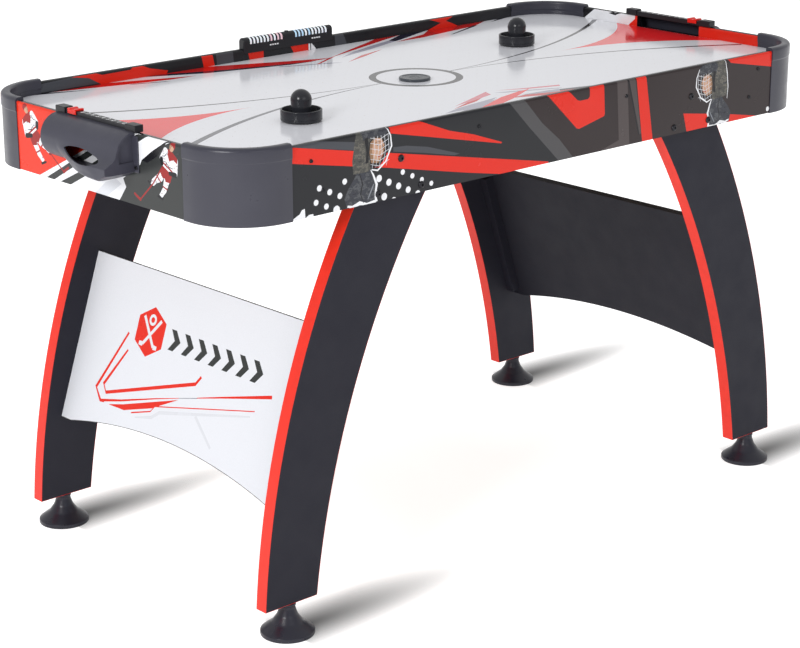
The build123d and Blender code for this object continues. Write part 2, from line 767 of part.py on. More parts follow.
def rocker_switch():
    """Rocker that tips about a vertical pin."""
    cap = Rot(0, 0, SWITCH_TILT) * Box(19.5, 7.5, 13)
    return Pos(SWITCH_X - 6, HALF_W - 2.6, SWITCH_Z) * cap


# ---------------------------------------------------------------- assembly
def build_nodes():
    nodes = {}
    nodes["long_board_front"] = long_board()
    nodes["long_board_back"] = back_board()
    nodes["end_board_left"] = end_board()
    nodes["end_board_right"] = turn_round(end_board())
    nodes["playfield"] = playfield()
    nodes["air_tray"] = air_tray()
    nodes["air_rail_front"] = air_rail_long()
    nodes["air_rail_back"] = flip_y(air_rail_long())
    nodes["air_rail_left"] = air_rail_short()
    nodes["air_rail_right"] = flip_x(air_rail_short())
    nodes["blower_housing"] = blower_housing()
    nodes["blower_grille"] = blower_grille()
    nodes["blower_motor"] = blower_motor()
    nodes["blower_impeller"] = blower_impeller()
    nodes["goal_box_left"] = goal_box()
    nodes["goal_box_right"] = turn_round(goal_box())
    nodes["score_rail_left"] = score_rail()
    nodes["score_rail_right"] = turn_round(score_rail())
    nodes["score_slider_left"] = score_slider()
    nodes["score_slider_right"] = turn_round(score_slider())
    left, right = light_spots()
    nodes["scorer_housing"] = scorer_housing()
    nodes["scorer_lights_left"] = Compound(lights(left))
    nodes["scorer_lights_right"] = Compound(lights(right))
    nodes["scorer_button"] = scorer_button()
    nodes["switch_plate"] = switch_plate()
    nodes["rocker_switch"] = rocker_switch()
    nodes["pusher_left"] = pusher(PUSHER_LEFT)
    nodes["pusher_right"] = pusher(PUSHER_RIGHT)
    nodes["pusher_felt_left"] = pusher_felt(PUSHER_LEFT)
    nodes["pusher_felt_right"] = pusher_felt(PUSHER_RIGHT)
    nodes["puck"] = puck()
    panel = end_panel()
    nodes["end_panel_right"] = panel
    nodes["end_panel_left"] = flip_x(panel)
    ends = {"left": -1, "right": 1}
    sides = {"front": -1, "back": 1}
    drawn = {
        "corner": corner_piece(),
        "leg": leg_core(),
        "leg_edging": leg_edging(),
        "foot": foot(),
        "foot_stud": foot_stud(),
        "cleat": cleat(),
    }
    for name, shape in drawn.items():
        for side, sy in sides.items():
            for end, sx in ends.items():
                nodes[f"{name}_{side}_{end}"] = at_corner(shape, sx, sy)
    nodes["leg_bolts"] = Compound(side_fasteners(bolt(), LEG_BOLTS))
    nodes["leg_inserts"] = Compound(leg_inserts())
    nodes["panel_screws"] = Compound(side_fasteners(screw(), SIDE_SCREWS) + box_screws())
    return nodes


os.makedirs("parts", exist_ok=True)
for node_name, node_shape in build_nodes().items():
    if isinstance(node_shape, Compound) and not isinstance(node_shape, Part):
        flat = [s for child in node_shape for s in child.solids()]
        node_shape = Compound(flat)
    node_shape.label = node_name
    export_step(node_shape, f"parts/{node_name}.step")
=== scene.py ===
import math

import bmesh
import bpy
from mathutils import Matrix, Vector
from mathutils.geometry import delaunay_2d_cdt


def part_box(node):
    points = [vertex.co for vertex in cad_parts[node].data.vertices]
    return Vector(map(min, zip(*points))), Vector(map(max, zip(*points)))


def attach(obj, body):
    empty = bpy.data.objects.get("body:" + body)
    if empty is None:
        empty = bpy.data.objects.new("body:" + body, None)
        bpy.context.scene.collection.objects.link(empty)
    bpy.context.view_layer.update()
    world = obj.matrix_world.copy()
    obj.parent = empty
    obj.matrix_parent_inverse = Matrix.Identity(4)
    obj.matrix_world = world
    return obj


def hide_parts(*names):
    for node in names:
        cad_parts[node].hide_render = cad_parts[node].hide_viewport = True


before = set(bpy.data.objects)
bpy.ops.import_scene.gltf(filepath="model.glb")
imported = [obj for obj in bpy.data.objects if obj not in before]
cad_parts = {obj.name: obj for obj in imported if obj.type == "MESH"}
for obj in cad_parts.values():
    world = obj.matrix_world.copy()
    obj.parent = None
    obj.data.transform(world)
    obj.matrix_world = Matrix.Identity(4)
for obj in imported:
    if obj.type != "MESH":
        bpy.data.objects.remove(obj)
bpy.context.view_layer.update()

# Home air hockey table. Metres, floor at z = 0, +X along the table, +Y towards the electronic scorer.
# Printed faces are drawn in millimetres: across to the right as the face is seen, and up.
MM = 0.001

# ---------------------------------------------------------------- sizes read from the frame
BOARD_LOW, BOARD_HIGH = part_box("long_board_front")
END_LOW, END_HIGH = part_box("end_board_left")
FIELD_LOW, FIELD_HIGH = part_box("playfield")
HALF_W = -BOARD_LOW.y
INNER_Y = -BOARD_HIGH.y
HALF_L = -END_LOW.x
INNER_X = -END_HIGH.x
SEAM_X = BOARD_HIGH.x
SEAM_Y = END_HIGH.y
BOARD_TOP = BOARD_HIGH.z
BOARD_BOTTOM = BOARD_LOW.z
FIELD_TOP = FIELD_HIGH.z
SLOT_HALF = 0.080
EDGE_R = 0.004
CORNER_LEG = HALF_L - SEAM_X
CORNER_R = 0.103

# ---------------------------------------------------------------- camera
CAMERA_AT = Vector((-2.6288, -2.8468, 1.5529))
CAMERA_AZIMUTH = math.radians(-42.285)
CAMERA_ELEVATION = math.radians(17.604)
CAMERA_ROLL = math.radians(-0.146)
CAMERA_LENS = 99.56


def add_camera():
    data = bpy.data.cameras.new("Camera")
    data.sensor_width = 36.0
    data.lens = CAMERA_LENS
    data.clip_end = 60.0
    camera = bpy.data.objects.new("Camera", data)
    turn = Matrix.Rotation(CAMERA_AZIMUTH, 4, "Z")
    tip = Matrix.Rotation(math.pi / 2 - CAMERA_ELEVATION, 4, "X")
    roll = Matrix.Rotation(CAMERA_ROLL, 4, "Z")
    camera.matrix_world = Matrix.Translation(CAMERA_AT) @ turn @ tip @ roll
    bpy.context.scene.collection.objects.link(camera)
    bpy.context.scene.camera = camera


# ---------------------------------------------------------------- materials
def linear(value):
    """One 0-255 display value as scene-linear light."""
    share = value / 255
    return share / 12.92 if share <= 0.04045 else ((share + 0.055) / 1.055) ** 2.4


def shade(red, green, blue):
    return (linear(red), linear(green), linear(blue), 1.0)


class Paint:
    """A principled material with object coordinates ready for its detail nodes."""

    def __init__(self, name, colour, roughness, specular=0.5, metallic=0.0):
        self.material = bpy.data.materials.new(name)
        self.material.use_nodes = True
        self.nodes = self.material.node_tree.nodes
        self.links = self.material.node_tree.links
        self.shader = self.nodes["Principled BSDF"]
        self.colour = colour
        self.roughness = roughness
        self.set("Base Color", colour)
        self.set("Roughness", roughness)
        self.set("Specular IOR Level", specular)
        self.set("Metallic", metallic)
        self.place = self.nodes.new("ShaderNodeTexCoord")

    def set(self, socket, value):
        self.shader.inputs[socket].default_value = value

    def noise(self, scale, detail=3.0, stretch=(1, 1, 1), rough=0.55):
        """Noise in object space; scale is in waves a metre."""
        mapping = self.nodes.new("ShaderNodeMapping")
        mapping.inputs["Scale"].default_value = stretch
        self.links.new(self.place.outputs["Object"], mapping.inputs["Vector"])
        node = self.nodes.new("ShaderNodeTexNoise")
        node.inputs["Scale"].default_value = scale
        node.inputs["Detail"].default_value = detail
        node.inputs["Roughness"].default_value = rough
        self.links.new(mapping.outputs["Vector"], node.inputs["Vector"])
        return node.outputs["Fac"]

    def span(self, value, low, high, start=0.3, stop=0.7):
        """Value spread from low to high as it goes from start to stop."""
        node = self.nodes.new("ShaderNodeMapRange")
        node.inputs["From Min"].default_value = start
        node.inputs["From Max"].default_value = stop
        node.inputs["To Min"].default_value = low
        node.inputs["To Max"].default_value = high
        self.links.new(value, node.inputs["Value"])
        return node.outputs["Result"]

    def tint(self, value, amount):
        """Colour made lighter and darker by amount with value."""
        node = self.nodes.new("ShaderNodeMix")
        node.data_type = "RGBA"
        dark = [c * (1 - amount) for c in self.colour[:3]]
        light = [min(1.0, c * (1 + amount) + 0.004 * amount) for c in self.colour[:3]]
        node.inputs["A"].default_value = (*dark, 1)
        node.inputs["B"].default_value = (*light, 1)
        self.links.new(value, node.inputs["Factor"])
        self.links.new(node.outputs["Result"], self.shader.inputs["Base Color"])

    def rough(self, value, spread):
        low = max(0.02, self.roughness - spread)
        ranged = self.span(value, low, self.roughness + spread)
        self.links.new(ranged, self.shader.inputs["Roughness"])

    def bump(self, value, depth, strength=1.0):
        """Relief of the given depth in metres."""
        node = self.nodes.new("ShaderNodeBump")
        node.inputs["Distance"].default_value = depth
        node.inputs["Strength"].default_value = strength
        self.links.new(value, node.inputs["Height"])
        self.links.new(node.outputs["Normal"], self.shader.inputs["Normal"])


FILM_GLOSS = 0.24
FILM_SPECULAR = 0.25


def film(name, rgb):
    """Printed paper film under lacquer: faint mottle in the ink and a slight ripple of the board below."""
    paint = Paint(name, shade(*rgb), FILM_GLOSS, FILM_SPECULAR)
    paint.tint(paint.span(paint.noise(900, 2), 0, 1), 0.05)
    paint.rough(paint.noise(14, 4), 0.05)
    paint.bump(paint.noise(55, 2), 0.00006, 0.5)
    return paint.material


def mottled(name, tones, scale):
    """Film printed with a painterly patchwork of tones, darkest first."""
    paint = Paint(name, shade(*tones[0]), FILM_GLOSS, FILM_SPECULAR)
    ramp = paint.nodes.new("ShaderNodeValToRGB")
    steps = ramp.color_ramp.elements
    for k, tone in enumerate(tones):
        place = 0.34 + 0.32 * k / (len(tones) - 1)
        step = steps[k] if k < 2 else steps.new(place)
        step.position = place
        step.color = shade(*tone)
    paint.links.new(paint.noise(scale, 6, (1, 1, 1.6), 0.62), ramp.inputs["Fac"])
    paint.links.new(ramp.outputs["Color"], paint.shader.inputs["Base Color"])
    paint.rough(paint.noise(14, 4), 0.05)
    return paint.material


def moulded(name, rgb, roughness, grain=0.00005, specular=0.32):
    """Moulded plastic with a fine spark-eroded grain and slight handling marks."""
    paint = Paint(name, shade(*rgb), roughness, specular)
    paint.tint(paint.span(paint.noise(9, 5), 0, 1), 0.06)
    paint.rough(paint.noise(35, 6), 0.07)
    paint.bump(paint.noise(2200, 2), grain, 0.6)
    return paint.material


def laminate(name, rgb, roughness, speckle=0.10):
    """Board face with a pebbled foil."""
    paint = Paint(name, shade(*rgb), roughness, 0.2)
    paint.tint(paint.span(paint.noise(500, 4), 0, 1), speckle)
    paint.rough(paint.noise(20, 5), 0.06)
    paint.bump(paint.noise(1500, 3), 0.00006, 0.5)
    return paint.material


def edge_strip(name, rgb):
    """Extruded edge strip: fine lines along its length."""
    paint = Paint(name, shade(*rgb), 0.36, 0.25)
    paint.tint(paint.span(paint.noise(60, 4), 0, 1), 0.05)
    paint.bump(paint.noise(900, 2, (1, 6, 1)), 0.00004, 0.5)
    return paint.material


def fibre_board(name, rgb):
    """Raw pressed board with fibres."""
    paint = Paint(name, shade(*rgb), 0.85, 0.2)
    paint.tint(paint.span(paint.noise(420, 8, (1, 0.4, 1)), 0, 1), 0.28)
    paint.bump(paint.noise(1100, 5), 0.00015, 0.7)
    return paint.material


def softwood(name, rgb):
    """Planed batten with straight grain along its length."""
    paint = Paint(name, shade(*rgb), 0.6, 0.3)
    paint.tint(paint.span(paint.noise(190, 5, (0.05, 0.05, 1)), 0, 1), 0.3)
    paint.bump(paint.noise(600, 4, (0.05, 0.05, 1)), 0.00012, 0.6)
    return paint.material


def metal(name, rgb, roughness, metallic=1.0):
    paint = Paint(name, shade(*rgb), roughness, 0.5, metallic)
    paint.tint(paint.span(paint.noise(300, 5), 0, 1), 0.12)
    paint.rough(paint.noise(160, 5), 0.09)
    paint.bump(paint.noise(1600, 3), 0.00003, 0.5)
    return paint.material


def felt_cloth(name, rgb):
    """Pressed felt: matted fibres and a soft sheen."""
    paint = Paint(name, shade(*rgb), 0.95, 0.1)
    paint.set("Sheen Weight", 0.4)
    paint.tint(paint.span(paint.noise(2500, 6), 0, 1), 0.35)
    paint.bump(paint.noise(3000, 6), 0.0003, 0.9)
    return paint.material


def field_film(name, rgb):
    """Lacquered playing surface with a mirror-like top coat and faint rubbing marks."""
    paint = Paint(name, shade(*rgb), 0.13, 0.42)
    paint.tint(paint.span(paint.noise(700, 2), 0, 1), 0.012)
    paint.rough(paint.noise(6, 6, (1, 2.5, 1)), 0.035)
    paint.bump(paint.noise(18, 2), 0.00004, 0.35)
    return paint.material


def light_lens(name, rgb, glow):
    """Translucent light bar with a soft inner glow."""
    paint = Paint(name, shade(*rgb), 0.25, 0.5)
    paint.tint(paint.span(paint.noise(260, 3), 0, 1), 0.05)
    paint.set("Emission Color", shade(*rgb))
    paint.set("Emission Strength", glow)
    paint.set("Subsurface Weight", 0.2)
    paint.bump(paint.noise(900, 2), 0.00004, 0.4)
    return paint.material


INKS = {
    "charcoal": (29, 30, 34),
    "slate": (66, 68, 74),
    "umber": (43, 34, 35),
    "taupe": (74, 66, 66),
    "ash": (72, 71, 73),
    "red": (212, 36, 18),
    "coral": (214, 48, 24),
    "white": (226, 227, 231),
    "pale": (204, 206, 212),
    "moss": (48, 50, 50),
    "ink": (22, 22, 26),
    "skin": (186, 146, 122),
    "tan": (138, 106, 80),
    "steel": (126, 130, 138),
    "maroon": (142, 30, 30),
}
MOTTLES = {
    "helmet": (75, ((50, 50, 50), (78, 76, 72), (64, 65, 62), (104, 100, 92), (52, 54, 58))),
    "padding": (75, ((34, 34, 42), (58, 60, 68), (46, 48, 55), (84, 86, 90), (50, 52, 60))),
    "kit": (150, ((150, 152, 158), (222, 223, 227), (226, 227, 231), (206, 206, 212), (120, 62, 64))),
}
FIELD_INKS = {
    "field_white": (225, 226, 232),
    "field_red": (196, 20, 18),
    "field_pink": (214, 120, 132),
    "field_rose": (232, 40, 44),
    "field_navy": (24, 20, 44),
    "field_grey": (158, 156, 172),
    "field_slate": (98, 99, 106),
    "field_black": (24, 24, 30),
}
M = {}


def make_materials():
    for name, rgb in INKS.items():
        M[name] = film("print_" + name, rgb)
    for name, (scale, tones) in MOTTLES.items():
        M[name] = mottled("print_" + name, tones, scale)
    for name, rgb in FIELD_INKS.items():
        M[name] = field_film(name, rgb)
    M["corner"] = moulded("corner_plastic", (50, 50, 61), 0.34, specular=0.42)
    M["box"] = moulded("goal_box_plastic", (58, 58, 69), 0.42)
    M["foot"] = moulded("foot_plastic", (36, 36, 46), 0.32)
    M["black"] = moulded("black_plastic", (26, 26, 31), 0.36)
    M["slider"] = moulded("red_plastic", (214, 28, 14), 0.26)
    M["striker"] = moulded("striker_plastic", (38, 39, 44), 0.22, 0.00002)
    M["puck"] = moulded("puck_plastic", (66, 70, 76), 0.3)
    M["blower"] = moulded("blower_plastic", (30, 30, 33), 0.5)
    M["leg"] = laminate("leg_laminate", (31, 31, 41), 0.58)
    M["panel_white"] = laminate("panel_white_laminate", (213, 215, 221), 0.42, 0.025)
    M["panel_dark"] = laminate("panel_dark_laminate", (30, 30, 39), 0.58)
    M["edging"] = edge_strip("red_edging", (220, 44, 28))
    M["board_raw"] = fibre_board("bare_board", (150, 120, 86))
    M["softwood"] = softwood("planed_softwood", (206, 172, 124))
    M["bolt"] = metal("black_oxide", (46, 46, 50), 0.38, 0.85)
    M["zinc"] = metal("zinc_plate", (196, 198, 202), 0.3)
    M["felt"] = felt_cloth("pressed_felt", (58, 58, 60))
    M["numeral"] = moulded("numeral_white", (232, 233, 236), 0.4)
    M["lens_white"] = light_lens("lens_white", (240, 241, 246), 0.25)
    M["lens_rose"] = light_lens("lens_rose", (238, 196, 204), 0.25)
    M["lens_blue"] = light_lens("lens_blue", (188, 216, 240), 0.25)


# ---------------------------------------------------------------- mesh helpers
def add_mesh(name, verts, faces, picks=None, paints=(), sharp=32.0):
    """New object from points and faces; picks gives each face's place in paints."""
    mesh = bpy.data.meshes.new(name)
    mesh.from_pydata([tuple(v) for v in verts], [], faces)
    for paint in paints:
        mesh.materials.append(paint)
    if picks:
        mesh.polygons.foreach_set("material_index", picks)
    mesh.polygons.foreach_set("use_smooth", [True] * len(mesh.polygons))
    mesh.set_sharp_from_angle(angle=math.radians(sharp))
    mesh.validate()
    piece = bpy.data.objects.new(name, mesh)
    bpy.context.scene.collection.objects.link(piece)
    return piece


def face_outwards(piece):
    """Turn every face of a closed piece outwards."""
    shell = bmesh.new()
    shell.from_mesh(piece.data)
    bmesh.ops.recalc_face_normals(shell, faces=shell.faces)
    shell.to_mesh(piece.data)
    shell.free()
    return piece


def settle(piece, body, slot, *nodes):
    """Put a finished piece on its body, in place of the CAD nodes it stands for."""
    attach(piece, body)
    if nodes:
        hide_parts(*nodes)
    return piece


def soften(piece, width, segments=2):
    """Small rounding of every sharp edge."""
    rounding = piece.modifiers.new("Rounding", "BEVEL")
    rounding.width = width
    rounding.segments = segments
    rounding.limit_method = "ANGLE"
    rounding.angle_limit = math.radians(40)
    rounding.harden_normals = True
    return piece


def rounded(points, steps=4):
    """Closed or open outline with each corner (x, y, radius) turned into an arc."""
    out = []
    count = len(points)
    for i, (x, y, radius) in enumerate(points):
        here = Vector((x, y))
        if radius <= 0:
            out.append((x, y))
            continue
        back = (Vector(points[i - 1][:2]) - here).normalized()
        ahead = (Vector(points[(i + 1) % count][:2]) - here).normalized()
        half = back.angle(ahead) / 2
        reach = radius / math.tan(half)
        middle = here + (back + ahead).normalized() * (radius / math.sin(half))
        first = here + back * reach - middle
        last = here + ahead * reach - middle
        sweep = first.angle_signed(last)
        for k in range(steps + 1):
            angle = -sweep * k / steps
            out.append(tuple(middle + Matrix.Rotation(angle, 2) @ first))
    return out


def lathe(name, profile, paint, centre=(0, 0, 0), segments=64, sharp=32.0):
    """Solid of revolution about a vertical axis from a closed (radius, height) outline."""
    verts = []
    rings = []
    for radius, height in profile:
        if radius < 1e-7:
            rings.append([len(verts)] * segments)
            verts.append((centre[0], centre[1], centre[2] + height))
            continue
        rings.append(list(range(len(verts), len(verts) + segments)))
        for k in range(segments):
            angle = 2 * math.pi * k / segments
            across = centre[0] + radius * math.cos(angle)
            along = centre[1] + radius * math.sin(angle)
            verts.append((across, along, centre[2] + height))
    faces = []
    for i, ring in enumerate(rings):
        other = rings[(i + 1) % len(rings)]
        for k in range(segments):
            after = (k + 1) % segments
            corners = [ring[k], ring[after], other[after], other[k]]
            face = list(dict.fromkeys(corners))
            if len(face) > 2:
                faces.append(face)
    return add_mesh(name, verts, faces, paints=[paint], sharp=sharp)


# ---------------------------------------------------------------- flat printing
def inside(point, outline):
    x, y = point
    hit = False
    for i, (x1, y1) in enumerate(outline):
        x0, y0 = outline[i - 1]
        if (y0 > y) != (y1 > y) and x < (x1 - x0) * (y - y0) / (y1 - y0) + x0:
            hit = not hit
    return hit


def bounds_of(outline):
    xs = [p[0] for p in outline]
    ys = [p[1] for p in outline]
    return min(xs), max(xs), min(ys), max(ys)


def partition(outline, shapes, lines=(), ground="charcoal", holes=None):
    """Triangles of an outline with the printed shapes cut in, and the paint name of each.

    holes gives the air holes as a dict from grid place to outline; what is inside them is left out.
    """
    points = []
    edges = []
    rings = list(holes.values()) if holes else []
    for shape in [outline] + [s[1] for s in shapes] + rings:
        start = len(points)
        points += [Vector(p) for p in shape]
        edges += [(start + i, start + (i + 1) % len(shape)) for i in range(len(shape))]
    for one, other in lines:
        edges.append((len(points), len(points) + 1))
        points += [Vector(one), Vector(other)]
    cut = delaunay_2d_cdt(points, edges, [], 0, 1e-4)
    spots, triangles = cut[0], cut[2]
    boxes = [(bounds_of(s[1]), s) for s in shapes]
    kept = []
    paints = []
    for triangle in triangles:
        middle = sum((spots[i] for i in triangle), Vector((0, 0))) / 3
        if not inside(middle, outline):
            continue
        if holes and in_hole(middle, holes):
            continue
        paint = ground
        for (x0, x1, y0, y1), (name, shape) in boxes:
            if x0 <= middle.x <= x1 and y0 <= middle.y <= y1 and inside(middle, shape):
                paint = name
        kept.append(triangle)
        paints.append(paint)
    return spots, kept, paints


def in_hole(spot, holes):
    place = (round(spot.x / HOLE_PITCH), round(spot.y / HOLE_PITCH))
    middle = (place[0] * HOLE_PITCH, place[1] * HOLE_PITCH)
    return place in holes and math.dist(spot, middle) < HOLE_R


def stroke(points, widths):
    """Outline of a line through points, with its width at each."""
    left = []
    right = []
    for i, point in enumerate(points):
        here = Vector(point)
        before = Vector(points[max(i - 1, 0)])
        after = Vector(points[min(i + 1, len(points) - 1)])
        way = (after - before).normalized()
        turn = 1.0
        if 0 < i < len(points) - 1:
            turn = max(0.45, math.cos((here - before).angle(after - here) / 2))
        side = Vector((-way.y, way.x)) * widths[i] / 2 / turn
        left.append(tuple(here + side))
        right.append(tuple(here - side))
    return left + right[::-1]


def ellipse(x, y, rx, ry, steps=20):
    turns = [2 * math.pi * k / steps for k in range(steps)]
    return [(x + rx * math.cos(a), y + ry * math.sin(a)) for a in turns]


LIMB_STEPS = 6


def limb(start, end, r0, r1):
    """Outline of a tapered limb with round ends."""
    a, b = Vector(start), Vector(end)
    way = (b - a).normalized()
    turn = math.atan2(way.y, way.x)
    out = []
    for middle, radius, start_at in ((a, r0, turn + math.pi / 2), (b, r1, turn - math.pi / 2)):
        for k in range(LIMB_STEPS + 1):
            angle = start_at + math.pi * k / LIMB_STEPS
            out.append((middle.x + radius * math.cos(angle), middle.y + radius * math.sin(angle)))
    return out


def moved(shapes, x, y, scale, flip=1, tilt=0.0):
    """Shapes turned by tilt degrees, scaled, mirrored if flip is -1, and put at a place."""
    c, s = math.cos(math.radians(tilt)), math.sin(math.radians(tilt))
    out = []
    for name, shape in shapes:
        turned = [(u * c - v * s, u * s + v * c) for u, v in shape]
        out.append((name, [(x + flip * scale * u, y + scale * v) for u, v in turned]))
    return out


def skater(trim):
    """Small stylised skater with a stick, hips at the origin, about 90 tall."""
    return [
        ("ink", limb((22, -44), (33, -43), 2.2, 1.8)),
        ("kit", [(0, -6), (13, -8), (27, -34), (27, -43), (19, -42), (15, -34), (4, -22)]),
        ("ink", limb((-9, -47), (3, -50), 2.2, 1.8)),
        ("kit", [(-13, -8), (2, -10), (-2, -30), (1, -46), (-7, -46), (-12, -32)]),
        (trim, stroke([(6, -25), (20, -21)], [2.6, 2.6])),
        (trim, stroke([(-13, -26), (-1, -28)], [2.6, 2.6])),
        (trim, [(-14, 5), (12, 6), (16, -10), (4, -16), (0, -13), (-4, -17), (-15, -12)]),
        ("kit", limb((-12, 29), (-21, 9), 6.5, 4.5)),
        ("kit", [(-15, 35), (4, 38), (16, 34), (19, 20), (13, 3), (-14, 3), (-17, 20)]),
        (trim, [(-15, 35), (4, 38), (16, 34), (19, 27), (8, 26), (1, 19), (-7, 27), (-18, 27)]),
        ("ink", stroke([(-12, 14), (-3, 10), (8, 13), (14, 10)], [1.0, 1.6, 1.2, 0.8])),
        (trim, stroke([(-14, 8), (14, 8)], [3, 3])),
        ("kit", limb((15, 29), (20, 12), 6, 4.2)),
        ("ink", stroke([(10, 30), (14, 20), (20, 16)], [0.8, 1.4, 0.8])),
        ("ink", limb((19, 11), (15, 5), 4.2, 3.4)),
        ("ink", limb((-21, 8), (-8, 2), 4.2, 3.4)),
        (trim, stroke([(12, 0), (22, -40), (40, -84)], [2.6, 2.6, 2.6])),
        (trim, limb((40, -84), (56, -84), 2.6, 2.0)),
        ("skin", ellipse(4, 43, 5.6, 7)),
        ("tan", [(6, 37.5), (9.6, 41), (8.6, 43.4), (6, 42.4)]),
        ("ink", [(4, 44.4), (8.8, 44.8), (8.8, 45.6), (4, 45.2)]),
        (trim, [(-3.6, 44), (-3, 50), (1, 53.6), (6.4, 53), (9.8, 49), (10.2, 45.8), (3, 46.4)]),
    ]


def bust(back=0):
    """Stylised goalkeeper's head and shoulders, 90 wide and 118 tall, with a plain face behind a cage.

    back makes the helmet that much longer behind.
    """
    shapes = [
        ("padding", [(2, 0), (-4, 16), (4, 30), (16, 44), (22, 54), (46, 56), (54, 46), (60, 30), (58, 12),
                     (60, 0)]),
        ("white", stroke([(59, 2), (57, 14), (60, 28), (53, 44), (48, 52)], [5, 3, 4.4, 3, 1])),
        ("white", stroke([(2, 4), (12, 1.5), (26, 5), (40, 1.5), (58, 3)], [3, 4, 6, 3, 5])),
        ("steel", stroke([(42, 8), (50, 22), (54, 30)], [1, 2.4, 1])),
        ("ink", stroke([(26, 50), (32, 34), (28, 18), (34, 4)], [1.2, 2, 1.6, 1])),
        ("helmet", [(14 - back, 50), (12 - back, 70), (16 - back, 92), (22 - back, 118),
                    (70, 118), (76, 104), (66, 74), (44, 50)]),
        ("padding", [(34, 98), (30, 110), (34, 118), (76, 118), (84, 108), (76, 99), (56, 101)]),
        ("ink", [(38, 62), (40, 80), (36, 100), (43, 102), (45, 84), (44, 64)]),
        ("ink", [(48, 56), (45, 76), (46, 94), (56, 101), (76, 98), (82, 86), (79, 68), (64, 54)]),
        ("tan", [(49, 62), (46, 78), (48, 93), (56, 99), (70, 97), (76, 86), (73, 70), (63, 60)]),
        ("skin", [(54, 67), (51, 80), (54, 94), (60, 98), (69, 96), (75, 86), (72, 72), (64, 64)]),
        ("tan", stroke([(56, 90.5), (62, 92.5), (69, 91)], [1.2, 2.0, 1.2])),
        ("ink", ellipse(63, 87.4, 2.2, 1.2)),
        ("tan", [(71, 88), (77, 79), (70, 77.6)]),
        ("maroon", stroke([(63, 69.5), (68, 70.3), (72, 69.5)], [1.2, 2.0, 1.2])),
    ]
    for k in range(6):
        level = 58 + 8 * k
        shapes.append(("pale", stroke([(48, level + 2), (66, level - 3), (85, level + 4)], [0.6, 0.9, 0.8])))
    for k in range(5):
        along = 54 + 7 * k
        shapes.append(("pale", stroke([(along - 3, 54), (along + 3, 78), (along + 1, 101)], [0.6, 0.9, 0.8])))
    shapes.append(("white", stroke([(50, 52), (62, 49), (78, 60), (90, 82), (88, 98), (80, 112)],
                                   [2, 2.4, 2.4, 2.6, 2.2, 1.4])))
    return shapes


DOT_RUN = 20.5
DOT_FALL = 9.5


def dots(x, y, count, radius, shrink=0.0):
    """Row of white dots that falls to the right."""
    out = []
    for k in range(count):
        size = radius - shrink * k
        out.append(("white", ellipse(x + DOT_RUN * k, y - DOT_FALL * k, size, size, 16)))
    return out


WRAP = 804.6
INNER_WRAP = 803.4


def long_outer():
    """Print on the outer face of a long board."""
    left, right = -570.4, 570.4
    shapes = [
        ("umber", [(-73, WRAP), (46, 680), (right, 680), (right, WRAP)]),
        ("slate", [(-566, WRAP), (-518, WRAP), (-440, 791), (-440, 778), (-566, 802)]),
        ("slate", [(-364, 771), (-335, 769), (-290, 760), (-220, 738), (-232, 737), (-300, 752),
                   (-364, 764)]),
        ("red", [(left, 803), (-14, 691.5), (-14, 680), (-128, 689), (-200, 703), (-375, 740), (left, 778)]),
        ("red", [(-372, WRAP), (-309, WRAP), (-243, 779), (-190, 765), (-124, 742), (-126, 740),
                 (-370, 794)]),
        ("ash", [(-108, WRAP), (-73, WRAP), (-30, 759), (12, 725), (46, 689), (46, 680), (20, 680),
                 (-63, 759)]),
        ("red", [
            (-19, WRAP), (53, 738), (59, 736), (121, 749), (122.5, 753), (119, WRAP),
            (84, WRAP), (84, 788), (80, 784.5), (60, 784), (54, 786), (32, WRAP),
        ]),
        ("taupe", [(152, WRAP), (178, WRAP), (188, 680), (108, 688), (160, 701)]),
        ("ink", [(178, WRAP), (182, WRAP), (213, 703), (210, 703)]),
        ("taupe", [(182, WRAP), (198, WRAP), (217, 704), (213, 703)]),
        ("red", [(201, WRAP), (226, WRAP), (249.5, 680), (222, 680)]),
        ("red", [(328, 723), (420, 709), (456, 703), (550, 686), (550, 680), (341, 680)]),
        ("red", [(446, WRAP), (right, WRAP), (right, 775), (454, 797)]),
        ("white", [(-572, 690), (-556, 697), (-551, 703), (-545.5, 704), (-544, 680), (-572, 680)]),
        ("white", [(-543, 690), (-537, 693), (-529, 693), (-526, 680), (-543, 680)]),
    ]
    shapes += dots(-516, 731, 3, 5.0) + dots(-523, 709.5, 3, 4.8)
    shapes += dots(-465, 733, 2, 4.8) + dots(-482, 691, 1, 6.8)
    shapes += dots(-394, 726, 5, 5.8, 0.15) + dots(-344, 728, 4, 4.5, 0.1)
    shapes += dots(-404, 704.5, 3, 6.6, 0.6)
    shapes += dots(565, 697, 1, 4.4)
    shapes += moved(bust(), -462, 688, 1.05)
    rim = [("white", stroke([(10, 118), (5, 92), (3, 66), (6, 44)], [1, 2, 1.6, 1]))]
    shapes += moved(bust(10) + rim, 456, 690, 1.0, -1, -4)
    return shapes


